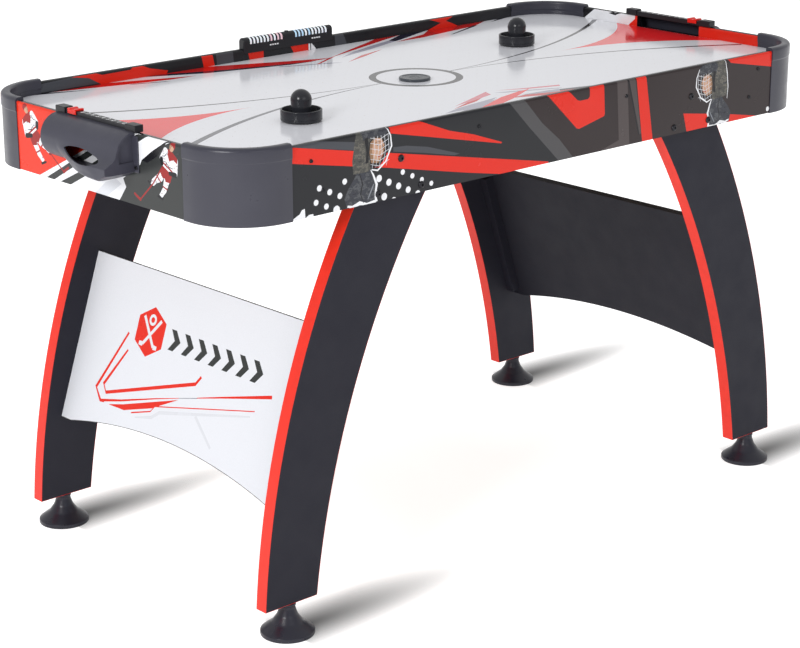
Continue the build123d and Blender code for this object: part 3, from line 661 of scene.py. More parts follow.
def long_inner():
    """Print on the inner face of a long board, seen from the middle of the table."""
    return [
        ("slate", [(-570.4, 800), (-500, INNER_WRAP), (-440, 790), (-440, 785), (-570.4, 785)]),
        ("red", [(-506, INNER_WRAP), (-455, INNER_WRAP), (-442, 799), (-382, 800), (-376, INNER_WRAP),
                 (-355, INNER_WRAP), (-340, 797), (-300, 788), (-305, 780), (-440, 780), (-470, 797)]),
        ("red", [(-224, INNER_WRAP), (-199, INNER_WRAP), (-194, 780), (-219, 780)]),
        ("slate", [(-191, INNER_WRAP), (-152, INNER_WRAP), (-150, 780), (-189, 780)]),
        ("red", [(-119, INNER_WRAP), (-80, INNER_WRAP), (-80, 780), (-112, 780)]),
        ("red", [(-18, 801), (28, 801), (29, 780), (-6, 780)]),
        ("white", [(29, 801), (33, 801), (33, 780), (29, 780)]),
        ("white", [(35, 797), (46, 785), (46, 780), (35, 780)]),
        ("slate", [(94, INNER_WRAP), (116, INNER_WRAP), (126, 780), (96, 780)]),
        ("red", [(342, INNER_WRAP), (406, INNER_WRAP), (386, 796), (400, 791), (424, 780), (326, 780),
                 (372, 794)]),
    ]


def end_outer():
    """Print on the outer face of an end board."""
    shapes = [
        ("coral", [(-226, 680), (-186, 680), (68, 804), (93, WRAP), (-226, WRAP)]),
        ("white", [(-186, 680), (50, 680), (76, 713), (69, 726), (87, 738), (116, 756), (120, 764),
                   (150, 784), (196, WRAP), (93, WRAP), (68, 804)]),
        ("moss", [(-164, 680), (-142, 680), (-66, 721), (90, 803), (66, 803), (-87, 721)]),
        ("moss", [(-126, 680), (-96, 680), (-31, 713), (140, 806), (112, 804), (-56, 713)]),
        ("pale", [(-22, 680), (22, 712), (50, 722), (64, 716), (10, 680)]),
        ("moss", [(50, 680), (226, 680), (226, WRAP), (196, WRAP), (150, 784), (120, 764), (116, 756),
                  (87, 738), (69, 726), (76, 713)]),
        ("ink", [(120, 764), (134, 762), (160, 776), (186, 802), (200, WRAP), (186, WRAP), (150, 784)]),
    ]
    shapes += moved(skater("maroon"), -178, 755, 1.02, 1, 34)
    shapes += moved(skater("maroon"), 184, 757, 0.98, -1, 26)
    return shapes


def end_inner():
    """Print on the inner face of an end board, seen from the middle of the table."""
    return [
        ("ink", [(-226, 780), (-216, 788), (-196, INNER_WRAP), (-226, INNER_WRAP)]),
        ("white", [(-216, 788), (-196, INNER_WRAP), (-86, INNER_WRAP), (-86, 797), (-106, 780), (-226, 780)]),
        ("ink", [(-157, 800), (-146, 804), (-140, 802.5), (-116, 806), (-132, 801), (-139, 797.5)]),
        ("red", [(-106, 780), (-86, 797), (-86, INNER_WRAP), (226, INNER_WRAP), (226, 780)]),
    ]


def field_side():
    """Slashes along the +Y side of the playing surface; the other side is the same turned round."""
    return [
        ("field_navy", [(-586, 330), (-556, 330), (-487, 302), (-500, 304)]),
        ("field_red", [(-548, 330), (-430, 330), (-276, 276), (-331, 279), (-414, 297)]),
        ("field_navy", [(-414, 292), (-402, 293), (-338, 269), (-350, 270)]),
        ("field_navy", [(-352, 330), (-318, 330), (-207, 284), (-70, 246), (-28, 236), (-90, 241),
                        (-250, 282)]),
        ("field_red", [(-320, 330), (-212, 330), (-69, 270), (6, 242), (-46, 238), (-207, 284)]),
        ("field_grey", [(-124, 240), (-112, 241), (-20, 204), (-5, 191), (-62, 213)]),
        ("field_red", [(-52, 212), (-46, 210), (22, 246), (6, 244)]),
        ("field_red", [(4, 241), (90, 281), (160, 312), (196, 330), (262, 330), (206, 312)]),
        ("field_grey", [(27, 231), (70, 255), (150, 284), (206, 300), (212, 287), (120, 256)]),
        ("field_navy", [(206, 300), (262, 330), (330, 330), (227, 291), (212, 287)]),
        ("field_red", [(207, 280), (276, 280), (441, 304), (494, 330), (338, 330), (300, 304)]),
        ("field_navy", [(338, 266), (346, 266), (448, 304), (441, 309)]),
        ("field_navy", [(496, 314), (560, 330), (530, 330)]),
        ("field_red", [(4, 188), (66, 222), (138, 242), (70, 212)]),
    ]


FIELD_LINE_START = 40.0
FIELD_LINE_R = 1140.0
FIELD_LINE_FIRST = 40.0
FIELD_LINE_RUN = 590.0
FIELD_LINE_MARGIN = 4.0
FIELD_LINE_W = 1.6
FIELD_LINE_GROWTH = 8.0
NEAR_LINE_GROWTH = 13.0
GOAL_WEDGE_START = 370.0
GOAL_WEDGE_R = 410.0
RING_OUTER = 84.0
RING_INNER = 71.0


def field_front():
    """Slashes printed only along the -Y side."""
    return [
        ("field_pink", [(-122, -227), (0, -176), (-9, -199), (-48, -210)]),
        ("field_grey", [(-173, -257), (-124, -240), (-16, -221), (-70, -249), (-126, -259)]),
        ("field_rose", [(-92, -262), (-12, -226), (40, -213), (74, -209), (0, -246), (-69, -273)]),
        ("field_pink", [(20, -179), (58, -194), (138, -219), (131, -228), (70, -208)]),
        ("field_grey", [(25, -237), (112, -244), (98, -260)]),
    ]


def arc_rise(run, radius):
    return radius - math.sqrt(radius ** 2 - run ** 2)


def field_lines():
    """Long curves, goal wedges and centre ring."""
    shapes = []
    for end in (-1, 1):
        for side in (-1, 1):
            line = []
            for k in range(25):
                run = FIELD_LINE_FIRST + FIELD_LINE_RUN * k / 24
                line.append((end * (FIELD_LINE_START + run), side * arc_rise(run, FIELD_LINE_R)))
            line = [p for p in line if abs(p[0]) < INNER_X / MM - FIELD_LINE_MARGIN]
            near = end < 0 and side < 0
            growth = NEAR_LINE_GROWTH if near else FIELD_LINE_GROWTH
            widths = [FIELD_LINE_W + growth * i / len(line) for i in range(len(line))]
            shapes.append(("field_slate" if near else "field_black", stroke(line, widths)))
        tip = (end * GOAL_WEDGE_START, 0)
        reach = INNER_X / MM - 2 * FIELD_GAP - GOAL_WEDGE_START
        top = []
        for k in range(1, 17):
            run = reach * k / 16
            top.append((end * (GOAL_WEDGE_START + run), arc_rise(run, GOAL_WEDGE_R)))
        bottom = [(x, -y) for x, y in reversed(top)]
        shapes.append(("field_rose", [tip] + top + bottom))
    shapes.append(("field_black", ellipse(0, 0, RING_OUTER, RING_OUTER, 96)))
    shapes.append(("field_white", ellipse(0, 0, RING_INNER, RING_INNER, 96)))
    return shapes


# ---------------------------------------------------------------- printed boards
def edge_profile(thick, top, bottom, inner_bottom):
    """Cross-section of a board from the outer bottom edge over the top: (run, depth, height) in mm."""
    r = EDGE_R / MM
    spots = [(0.0, bottom), (0.0, top - r)]
    for k in range(1, 5):
        a = math.pi / 2 * k / 4
        spots.append((r - r * math.cos(a), top - r + r * math.sin(a)))
    for k in range(5):
        a = math.pi / 2 * k / 4
        spots.append((thick - r + r * math.sin(a), top - r + r * math.cos(a)))
    spots.append((thick, inner_bottom))
    out = []
    run = 0.0
    for i, (depth, height) in enumerate(spots):
        if i:
            run += math.dist(spots[i - 1], spots[i])
        out.append((run, depth, height))
    return out


def on_profile(profile, run):
    for (r0, d0, h0), (r1, d1, h1) in zip(profile, profile[1:]):
        if run <= r1 + 1e-6:
            share = (run - r0) / (r1 - r0)
            return d0 + (d1 - d0) * share, h0 + (h1 - h0) * share
    return profile[-1][1], profile[-1][2]


def printed_board(name, half, outer, inner, put, slot_half=0.0):
    """Board wrapped in one printed film: outer face, rounded top edges and inner face.

    put turns (across, depth, height) in mm into a point of the table.
    """
    top, bottom = BOARD_TOP / MM, BOARD_BOTTOM / MM
    field, under = FIELD_TOP / MM, FIELD_LOW.z / MM
    thick = (HALF_W - INNER_Y) / MM
    profile = edge_profile(thick, top, bottom, under)
    total = profile[-1][0]
    shapes = []
    for paint, shape in inner:
        shapes.append((paint, [(-x, total - (z - under)) for x, z in shape]))
    for paint, shape in outer:
        shapes.append((paint, [(x, z - bottom) for x, z in shape]))
    if slot_half:
        low, high = field - bottom, total - (field - under)
        outline = [(-half, 0), (half, 0), (half, total), (slot_half, total), (slot_half, low),
                   (-slot_half, low), (-slot_half, total), (-half, total)]
        tail = [(-slot_half, high), (slot_half, high), (slot_half, total), (-slot_half, total)]
    else:
        outline = [(-half, 0), (half, 0), (half, total), (-half, total)]
        tail = None
    lines = [((-half, run), (half, run)) for run, _, _ in profile[1:-1]]
    trimmed = [(paint, clip(shape, -half, half, 0, total)) for paint, shape in shapes]
    trimmed = [(paint, shape) for paint, shape in trimmed if len(shape) > 2]
    spots, triangles, paints = partition(outline, trimmed, lines)
    verts = []
    for spot in spots:
        depth, height = on_profile(profile, spot.y)
        verts.append(put(spot.x, depth, height))
    names = sorted(set(paints)) + ["board_raw", "ink"]
    faces = [tuple(t) for t in triangles]
    picks = [names.index(p) for p in paints]
    raw, dark = names.index("board_raw"), names.index("ink")

    def panel(corners, pick):
        start = len(verts)
        verts.extend(put(*c) for c in corners)
        faces.append(tuple(range(start, start + len(corners))))
        picks.append(pick)

    panel([(-half, thick, bottom), (half, thick, bottom), (half, 0, bottom), (-half, 0, bottom)], raw)
    panel([(-half, thick, under), (half, thick, under), (half, thick, bottom), (-half, thick, bottom)], raw)
    section = [(d, h) for _, d, h in profile] + [(thick, bottom)]
    panel([(half, d, h) for d, h in section], raw)
    panel([(-half, d, h) for d, h in reversed(section)], raw)
    if tail:
        s = slot_half
        panel([(-s, 0, field), (s, 0, field), (s, thick, field), (-s, thick, field)], dark)
        panel([(-s, thick, field), (s, thick, field), (s, thick, under), (-s, thick, under)], dark)
        cut = [(d, h) for _, d, h in profile if h > field + 1]
        cut = [(0, field)] + cut + [(thick, field)]
        panel([(-s, d, h) for d, h in cut], dark)
        panel([(s, d, h) for d, h in reversed(cut)], dark)
    return add_mesh(name, verts, faces, picks, [M[n] for n in names], 35)


def clip(shape, x0, x1, y0, y1):
    """Part of a polygon inside a box."""
    limits = [(0, x0, 1), (0, x1, -1), (1, y0, 1), (1, y1, -1)]
    out = list(shape)
    for axis, limit, sign in limits:
        kept = []
        for i, here in enumerate(out):
            last = out[i - 1]
            d0 = sign * (last[axis] - limit)
            d1 = sign * (here[axis] - limit)
            if (d0 < 0) != (d1 < 0):
                share = d0 / (d0 - d1)
                kept.append(tuple(a + (b - a) * share for a, b in zip(last, here)))
            if d1 >= 0:
                kept.append(here)
        out = kept
    return out


def make_boards():
    def put_long(side):
        return lambda x, depth, z: (-side * x * MM, side * (HALF_W - depth * MM), z * MM)

    def put_end(side):
        return lambda x, depth, z: (side * (HALF_L - depth * MM), side * x * MM, z * MM)

    for side, node in ((-1, "long_board_front"), (1, "long_board_back")):
        piece = printed_board("printed_" + node, SEAM_X / MM, long_outer(), long_inner(), put_long(side))
        settle(piece, "table", "printed_board", node)
    for side, node in ((-1, "end_board_left"), (1, "end_board_right")):
        piece = printed_board(
            "printed_" + node, SEAM_Y / MM, end_outer(), end_inner(), put_end(side), SLOT_HALF / MM
        )
        settle(piece, "table", "printed_board", node)


# ---------------------------------------------------------------- playing surface
HOLE_PITCH = 25.4
HOLE_R = 0.6
HOLE_DEPTH = 3.0
HOLE_EDGE = 20.0
HOLE_LIMIT = (0.975, 0.955)
FIELD_GAP = 0.3
FIELD_CORNER_TRIM = 12.5


def field_outline():
    a, b = INNER_X / MM - FIELD_GAP, INNER_Y / MM - FIELD_GAP
    r = CORNER_R / MM - FIELD_CORNER_TRIM
    out = []
    for cx, cy, start in ((a - r, b - r, 0), (r - a, b - r, 90), (r - a, r - b, 180), (a - r, r - b, 270)):
        for k in range(17):
            angle = math.radians(start + 90 * k / 16)
            out.append((cx + r * math.cos(angle), cy + r * math.sin(angle)))
    return out


def air_holes():
    """Outlines of the air holes, on a square grid clear of the edges."""
    holes = {}
    across = int((INNER_X / MM - HOLE_EDGE) / HOLE_PITCH)
    up = int((INNER_Y / MM - HOLE_EDGE) / HOLE_PITCH)
    limit = [(x * HOLE_LIMIT[0], y * HOLE_LIMIT[1]) for x, y in field_outline()]
    for i in range(-across, across + 1):
        for j in range(-up, up + 1):
            if inside((i * HOLE_PITCH, j * HOLE_PITCH), limit):
                holes[(i, j)] = ellipse(i * HOLE_PITCH, j * HOLE_PITCH, HOLE_R, HOLE_R, 8)
    return holes


def make_field():
    outline = field_outline()
    shapes = list(field_side())
    shapes += [(n, [(-x, -y) for x, y in s]) for n, s in field_side()]
    shapes += field_front() + field_lines()
    half_x, half_y = INNER_X / MM - FIELD_GAP, INNER_Y / MM - FIELD_GAP
    shapes = [(n, clip(s, -half_x, half_x, -half_y, half_y)) for n, s in shapes]
    holes = air_holes()
    spots, triangles, paints = partition(outline, shapes, (), "field_white", holes)
    top, low = FIELD_TOP, FIELD_LOW.z
    verts = [(p.x * MM, p.y * MM, top) for p in spots]
    names = sorted(set(paints)) + ["board_raw"]
    faces = [tuple(t) for t in triangles]
    picks = [names.index(p) for p in paints]
    raw = names.index("board_raw")

    def add(points):
        start = len(verts)
        verts.extend(points)
        faces.append(tuple(range(start, start + len(points))))
        picks.append(raw)

    edge = [(x * MM, y * MM) for x, y in outline]
    for i, (x1, y1) in enumerate(edge):
        x0, y0 = edge[i - 1]
        add([(x0, y0, top), (x0, y0, low), (x1, y1, low), (x1, y1, top)])
    add([(x, y, low) for x, y in reversed(edge)])
    floor = top - HOLE_DEPTH * MM
    for ring in holes.values():
        points = [(x * MM, y * MM) for x, y in ring]
        for i, (x1, y1) in enumerate(points):
            x0, y0 = points[i - 1]
            add([(x1, y1, top), (x1, y1, floor), (x0, y0, floor), (x0, y0, top)])
        add([(x, y, floor) for x, y in points])
    piece = add_mesh("printed_playfield", verts, faces, picks, [M[n] for n in names], 30)
    settle(piece, "table", "playfield_laminate", "playfield")


# ---------------------------------------------------------------- moulded corners
CORNER_STEPS = 40
TAB_T = 0.004
TAB_SIDE_REACH = 0.076
TAB_END_REACH = 0.056
TAB_RISE = 0.007
TAB_DROP = 0.042
RIB_T = 0.003
RIB_GAP = 0.0005
SHELL_T = 0.003
SHELL_FIT = 0.0002
LIP_H = 0.0235
LIP_PROUD = 0.0012
LINING_PROUD = 0.0015


def corner_profile():
    """Shell section as (radius, height): outer skin, rolled lip and inner lining."""
    box_low, box_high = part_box("corner_back_right")
    out = box_high.x - SEAM_X - (CORNER_LEG - CORNER_R)
    skin = out - LIP_PROUD
    lining = CORNER_R - (HALF_L - INNER_X) - SHELL_FIT
    low = box_low.z
    top = box_high.z
    shoulder = top - LIP_H
    return rounded([
        (skin - SHELL_T, low, 0.0005),
        (skin, low, 0.0008),
        (skin, shoulder - 0.0006, 0.0012),
        (out, shoulder + 0.0014, 0.0012),
        (out, top, 0.0062),
        (lining - LINING_PROUD, top, 0.0042),
        (lining - LINING_PROUD, shoulder + 0.0085, 0.001),
        (lining, shoulder + 0.005, 0.001),
        (lining, FIELD_LOW.z, 0.0004),
        (lining + SHELL_T, FIELD_LOW.z, 0.0004),
        (lining + SHELL_T, BOARD_TOP - 0.001, 0.001),
        (skin - SHELL_T, BOARD_TOP - 0.001, 0.001),
    ], 5)


def corner_tabs(lining):
    """Boxes that hold a corner to its two boards, as low and high (x, y) from the seams."""
    edge = CORNER_LEG - RIB_GAP
    return [
        ((lining - TAB_T, -TAB_END_REACH), (lining, RIB_T)),
        ((-TAB_SIDE_REACH, lining - TAB_T), (RIB_T, lining)),
        ((lining, 0), (edge, RIB_T)),
        ((0, lining), (RIB_T, edge)),
    ]


def add_box(verts, faces, low, high):
    start = len(verts)
    for x in (low[0], high[0]):
        for y in (low[1], high[1]):
            for z in (low[2], high[2]):
                verts.append((x, y, z))
    for face in ((0, 1, 3, 2), (4, 6, 7, 5), (0, 4, 5, 1), (2, 3, 7, 6), (0, 2, 6, 4), (1, 5, 7, 3)):
        faces.append(tuple(start + i for i in face))


def add_boxes(name, paint, spans):
    """One piece made of several boxes, each given by its low and high corners."""
    verts = []
    faces = []
    for low, high in spans:
        add_box(verts, faces, low, high)
    return add_mesh(name, verts, faces, None, [paint])


def make_corners():
    profile = corner_profile()
    count = len(profile)
    lining = CORNER_LEG - (HALF_L - INNER_X)
    straight = CORNER_LEG - CORNER_R
    turns = [math.pi / 2 * k / CORNER_STEPS for k in range(CORNER_STEPS + 1)]
    path = [(SEAM_X + straight, SEAM_Y, 0.0)]
    path += [(SEAM_X + straight, SEAM_Y + straight, angle) for angle in turns]
    path.append((SEAM_X, SEAM_Y + straight, math.pi / 2))
    for end, end_name in ((-1, "left"), (1, "right")):
        for side, side_name in ((-1, "front"), (1, "back")):
            verts = []
            faces = []
            for x, y, angle in path:
                for radius, height in profile:
                    verts.append((x + radius * math.cos(angle), y + radius * math.sin(angle), height))
            for k in range(len(path) - 1):
                for i in range(count):
                    j = (i + 1) % count
                    faces.append((k * count + i, (k + 1) * count + i, (k + 1) * count + j, k * count + j))
            faces.append(tuple(range(count)))
            faces.append(tuple((len(path) - 1) * count + i for i in reversed(range(count))))
            low, high = BOARD_BOTTOM + TAB_RISE, BOARD_TOP - TAB_DROP
            for (x0, y0), (x1, y1) in corner_tabs(lining):
                add_box(verts, faces, (SEAM_X + x0, SEAM_Y + y0, low), (SEAM_X + x1, SEAM_Y + y1, high))
            verts = [(end * x, side * y, z) for x, y, z in verts]
            if end * side < 0:
                faces = [tuple(reversed(face)) for face in faces]
            node = f"corner_{side_name}_{end_name}"
            piece = add_mesh("moulded_" + node, verts, faces, None, [M["corner"]], 38)
            settle(piece, "table", "corner_plastic", node)


# ---------------------------------------------------------------- end panels
PANEL_RUN = 95.5
PANEL_DROP = 288.5
PANEL_T = 12.0
PANEL_HALF = 305.9
PANEL_ARCH = 31.0
PANEL_TAB = 28.0
PANEL_RIM = 2.2
EMBLEM_X = -113
EMBLEM_Y = -104
EMBLEM_R = 44
ARROW_X = -58
ARROW_PITCH = 37


def panel_print():
    """Red outlines, grey shadows, a plain emblem and a row of arrowheads."""
    turns = [math.radians(60 * k + 30) for k in range(6)]
    shapes = [
        ("pale", stroke([(-104, -253), (-60, -242), (-42, -229), (60, -206), (186, -177)], [2, 6, 6, 5, 3])),
        ("pale", stroke([(52, -211), (107, -252)], [6, 5])),
        ("red", stroke([(-170, -118), (-227, -229), (-207, -249), (-196, -248)], [4.5, 5, 5, 4])),
        ("red", stroke([(-208, -249), (-150, -235), (-60, -209), (0, -193)], [5, 3.6, 2, 1])),
        ("steel", stroke([(0, -193), (48, -181)], [1, 1.4])),
        ("red", stroke([(46, -181), (110, -164), (227, -134)], [1.4, 3, 6])),
        ("red", stroke([(-162, -147), (-208, -219), (-197, -232), (34, -160), (45, -145)], [4, 5, 5, 6, 5])),
        ("red", [(-183, -250), (-143, -240), (0, -196), (-64, -227), (-137, -249)]),
        ("red", stroke([(-116, -248), (-66, -233), (-57, -222), (194, -166)], [2.4, 2.2, 1.8, 1.8])),
        ("red", [(EMBLEM_X + EMBLEM_R * math.cos(a), EMBLEM_Y + EMBLEM_R * math.sin(a)) for a in turns]),
        ("panel_white", stroke([(-137, -80), (-98, -128)], [6, 6])),
        ("panel_white", stroke([(-98, -128), (-88, -128)], [8, 7])),
        ("panel_white", stroke([(-89, -80), (-128, -128)], [6, 6])),
        ("panel_white", stroke([(-128, -128), (-138, -128)], [8, 7])),
        ("panel_white", ellipse(EMBLEM_X, EMBLEM_Y + 21, 10, 10)),
        ("red", ellipse(EMBLEM_X, EMBLEM_Y + 21, 5, 5)),
    ]
    for k in range(7):
        arrow = [(0, -122), (14, -104), (0, -86), (14, -86), (30, -104), (14, -122)]
        shapes.append(("moss", [(x + ARROW_X + ARROW_PITCH * k, y) for x, y in arrow]))
    return shapes


def make_panels():
    slope = math.hypot(PANEL_RUN, PANEL_DROP)
    arch = PANEL_ARCH * slope / PANEL_DROP
    reach = PANEL_HALF - PANEL_TAB
    radius = (reach ** 2 + arch ** 2) / (2 * arch)
    lower = []
    for k in range(41):
        x = reach - 2 * reach * k / 40
        lower.append((x, arch - slope - (radius - math.sqrt(radius ** 2 - x ** 2))))
    lower = [(PANEL_HALF, -slope)] + lower + [(-PANEL_HALF, -slope)]
    outline = [(-PANEL_HALF, 0), (PANEL_HALF, 0)] + lower
    prints = panel_print() + [("ash", stroke(lower, [PANEL_RIM] * len(lower)))]
    top_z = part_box("end_panel_left")[1].z / MM
    low_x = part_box("end_panel_left")[0].x / MM
    lean = math.atan2(PANEL_RUN, PANEL_DROP)

    def put_panel(end):
        def put(across, down, depth):
            out = -low_x - PANEL_RUN - down * math.sin(lean) - depth * math.cos(lean)
            up = top_z + down * math.cos(lean) - depth * math.sin(lean)
            return (end * out * MM, end * across * MM, up * MM)
        return put

    for end, name in ((-1, "left"), (1, "right")):
        put = put_panel(end)
        spots, triangles, paints = partition(outline, prints, (), "panel_white")
        names = sorted(set(paints)) + ["panel_dark"]
        verts = [put(p.x, p.y, 0) for p in spots]
        faces = [tuple(t) for t in triangles]
        picks = [names.index(p) for p in paints]
        for i, here in enumerate(outline):
            last = outline[i - 1]
            start = len(verts)
            verts += [put(*last, 0), put(*last, PANEL_T), put(*here, PANEL_T), put(*here, 0)]
            faces.append((start, start + 1, start + 2, start + 3))
            picks.append(names.index("panel_dark"))
        start = len(verts)
        verts += [put(*p, PANEL_T) for p in reversed(outline)]
        faces.append(tuple(range(start, start + len(outline))))
        picks.append(names.index("panel_dark"))
        piece = add_mesh("printed_end_panel_" + name, verts, faces, picks, [M[n] for n in names], 35)
        settle(piece, "table", "panel_laminate", "end_panel_" + name)


# ---------------------------------------------------------------- feet
def round_size(node):
    """Foot of the axis, radius and height of an upright round node."""
    low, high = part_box(node)
    middle = (low + high) / 2
    return (middle.x, middle.y, low.z), (high.x - low.x) / 2, high.z - low.z


def make_feet():
    for side in ("front", "back"):
        for end in ("left", "right"):
            node = f"foot_{side}_{end}"
            base, radius, tall = round_size(node)
            profile = rounded([
                (0, 0, 0),
                (radius - 0.0006, 0, 0.0006),
                (radius, 0.0012, 0.0008),
                (radius, 0.0070, 0.0016),
                (radius - 0.0030, 0.0092, 0.0012),
                (radius - 0.0040, 0.0100, 0.0008),
                (0.0262, 0.0205, 0.0200),
                (0.0172, 0.0330, 0.0180),
                (0.0134, 0.0440, 0.0100),
                (0.0130, tall - 0.0045, 0.0008),
                (0.0142, tall - 0.0035, 0.0006),
                (0.0142, tall, 0.0010),
                (0, tall, 0),
            ], 6)
            piece = lathe("moulded_" + node, profile, M["foot"], base, 72)
            settle(piece, node + "_unit", "foot_plastic", node)


# ---------------------------------------------------------------- strikers and puck
def make_strikers():
    for end in ("left", "right"):
        node = "pusher_" + end
        base, radius, tall = round_size(node)
        knob = 0.0175
        inner = knob - 0.0025
        dome = tall - knob
        section = [
            (inner, 0, 0.0004),
            (radius - 0.0008, 0, 0.0006),
            (radius, 0.0014, 0.0012),
            (radius, 0.0036, 0.0004),
            (radius - 0.0005, 0.0040, 0.0003),
            (radius - 0.0005, 0.0046, 0.0003),
            (radius, 0.0050, 0.0004),
            (radius, 0.0185, 0.0014),
            (radius - 0.0028, 0.0185, 0.0010),
            (radius - 0.0042, 0.0045, 0.0030),
            (knob + 0.0004, 0.0045, 0.0030),
            (knob - 0.0006, dome - 0.004, 0.004),
        ]
        profile = rounded(section, 5)
        for k in range(15):
            angle = math.pi / 2 * k / 14
            profile.append((knob * math.cos(angle), dome + knob * math.sin(angle)))
        for k in range(9):
            angle = math.pi / 2 * (1 - k / 8)
            profile.append((inner * math.cos(angle), dome + inner * math.sin(angle)))
        piece = lathe("moulded_" + node, profile, M["striker"], base, 96, 40)
        settle(piece, node + "_unit", "gloss_black", node)
        make_felt(end)


def make_felt(end):
    node = "pusher_felt_" + end
    base, radius, thick = round_size(node)
    inner = 0.0178
    profile = rounded([
        (inner, 0, 0.0004),
        (radius, 0, 0.0006),
        (radius, thick, 0.0002),
        (inner, thick, 0.0002),
    ], 3)
    piece = lathe("felt_ring_" + end, profile, M["felt"], base, 72)
    settle(piece, f"pusher_{end}_unit", "felt", node)


def make_puck():
    base, radius, thick = round_size("puck")
    upper = [
        (radius, thick - 0.0009, 0.0008),
        (radius - 0.0010, thick, 0.0007),
        (radius - 0.0050, thick, 0.0005),
        (radius - 0.0057, thick - 0.0007, 0.0004),
        (0.0105, thick - 0.0007, 0.0003),
        (0.0100, thick - 0.0003, 0.0002),
        (0.0088, thick - 0.0003, 0.0002),
        (0.0083, thick - 0.0007, 0.0003),
        (0, thick - 0.0007, 0),
    ]
    lower = [(r, thick - h, fillet) for r, h, fillet in reversed(upper)]
    profile = rounded(lower + upper, 4)
    piece = lathe("moulded_puck", profile, M["puck"], base, 96)
    settle(piece, "puck_unit", "puck_plastic", "puck")


# ---------------------------------------------------------------- carried-over CAD nodes
def paint_node(node, paint):
    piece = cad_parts[node]
    piece.data.materials.clear()
    piece.data.materials.append(paint)
    return piece


def paint_nodes():
    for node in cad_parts:
        if node.startswith("leg_edging"):
            paint_node(node, M["edging"])
        elif node in ("leg_bolts", "panel_screws"):
            paint_node(node, M["bolt"])
        elif node == "leg_inserts" or node.startswith("foot_stud") or node == "blower_motor":
            paint_node(node, M["zinc"])
        elif node.startswith("leg_"):
            paint_node(node, M["leg"])
        elif node.startswith("cleat"):
            paint_node(node, M["leg"])
        elif node == "air_tray":
            paint_node(node, M["board_raw"])
        elif node.startswith("air_rail"):
            paint_node(node, M["softwood"])
        elif node.startswith("blower"):
            paint_node(node, M["blower"])
        elif node.startswith(("scorer_housing", "scorer_button", "switch", "rocker")):
            paint_node(node, M["black"])


# ---------------------------------------------------------------- electronic scorer
SCORER_ROUND = 0.0078
BAR_W = 0.0046
BAR_INSET = 0.0003
BAR_T = 0.002
MARK_STARTS = (0.285, 0.756)
MARK_COUNT = 4
MARK_PITCH = 0.0056
MARK_W = 0.0040
MARK_H = 0.0024
MARK_PROUD = 0.0001
MARK_SUNK = 0.0004


def light_section(low, high, front):
    """Curved section of a light bar, from the front of the scorer over its rounded top edge."""
    turns = [math.pi / 2 * k / 8 for k in range(9)]
    middle = (front + SCORER_ROUND, high.z + BAR_INSET - SCORER_ROUND)
    section = []
    for radius, way in ((SCORER_ROUND - BAR_INSET, 1), (SCORER_ROUND - BAR_INSET - BAR_T, -1)):
        arc = [(middle[0] - radius * math.cos(a), middle[1] + radius * math.sin(a)) for a in turns]
        line = [(arc[0][0], low.z)] + arc + [(high.y, arc[-1][1])]
        section += line[::way]
    return section


def make_light_bars():
    tones = {
        "left": ["rose", "rose", "white", "rose", "white", "white", "white", "white", "white", "white"],
        "right": ["blue", "blue", "blue", "white", "blue", "white", "white", "white", "white", "white"],
    }
    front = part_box("scorer_housing")[0].y
    for bank, order in tones.items():
        node = "scorer_lights_" + bank
        low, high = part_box(node)
        step = (high.x - low.x - BAR_W) / (len(order) - 1)
        section = light_section(low, high, front)
        n = len(section)
        for k, tone in enumerate(order):
            x = low.x + BAR_W / 2 + step * k
            if bank == "left":
                x = high.x - BAR_W / 2 - step * k
            verts = [(x + side * BAR_W / 2, y, z) for side in (-1, 1) for y, z in section]
            faces = [(i, i + n, (i + 1) % n + n, (i + 1) % n) for i in range(n)]
            faces += [tuple(range(n)), tuple(range(2 * n - 1, n - 1, -1))]
            bar = add_mesh(f"light_bar_{bank}_{k + 1}", verts, faces, None, [M["lens_" + tone]], 30)
            soften(bar, 0.0003)
            settle(bar, "table", "light_lens", node)


def make_scorer_marks():
    """Row of plain dashes under each bank of lights, where the sides are marked."""
    low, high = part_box("scorer_housing")
    spans = []
    for start in MARK_STARTS:
        for k in range(MARK_COUNT):
            x = low.x + start * (high.x - low.x) + MARK_PITCH * k
            spans.append((
                (x, low.y - MARK_PROUD, BOARD_TOP),
                (x + MARK_W, low.y + MARK_SUNK, BOARD_TOP + MARK_H),
            ))
    settle(add_boxes("scorer_marks", M["numeral"], spans), "table", "black_plastic")


# ---------------------------------------------------------------- goal boxes
HOOD_R = 0.036
HOOD_Z = 0.770
HOOD_HALF = 0.104
BOX_WALL = 0.0025
POUCH_START = 0.060
POUCH_FULL = -0.080
POUCH_DEPTH = 0.059
POUCH_RIM = 0.755
POUCH_FLOOR = 0.732
POUCH_END_RISE = 0.011
BOX_END_WALL = 0.005
BOX_RECESS = 0.0024
BOX_ANGLES = (90, 70, 50, 30, 10, -5, -20, -40, -60, -75, -90)
DISH_RIM = 0.004
DISH_BACK = 0.003
DISH_START = -18
DISH_SWEEP = 98
FLANGE_LOW = 0.742
FLANGE_HIGH = 0.800
FLANGE_OVERLAP = 0.002
CUT_PAST = 0.002
EYE_BACK = 0.018
EYE = ((0.036, 0.764), (0.021, 0.7685), (-0.008, 0.7705), (-0.040, 0.7672), (-0.074, 0.760),
       (-0.062, 0.7545), (-0.045, 0.7515), (-0.022, 0.7505), (0.008, 0.7535), (0.026, 0.7590))


def between(p, q, r, s, t):
    """Value on the curve from q to r, with p before them and s after."""
    bend = 2 * p - 5 * q + 4 * r - s
    twist = 3 * q - p - 3 * r + s
    return 0.5 * (2 * q + (r - p) * t + bend * t ** 2 + twist * t ** 3)


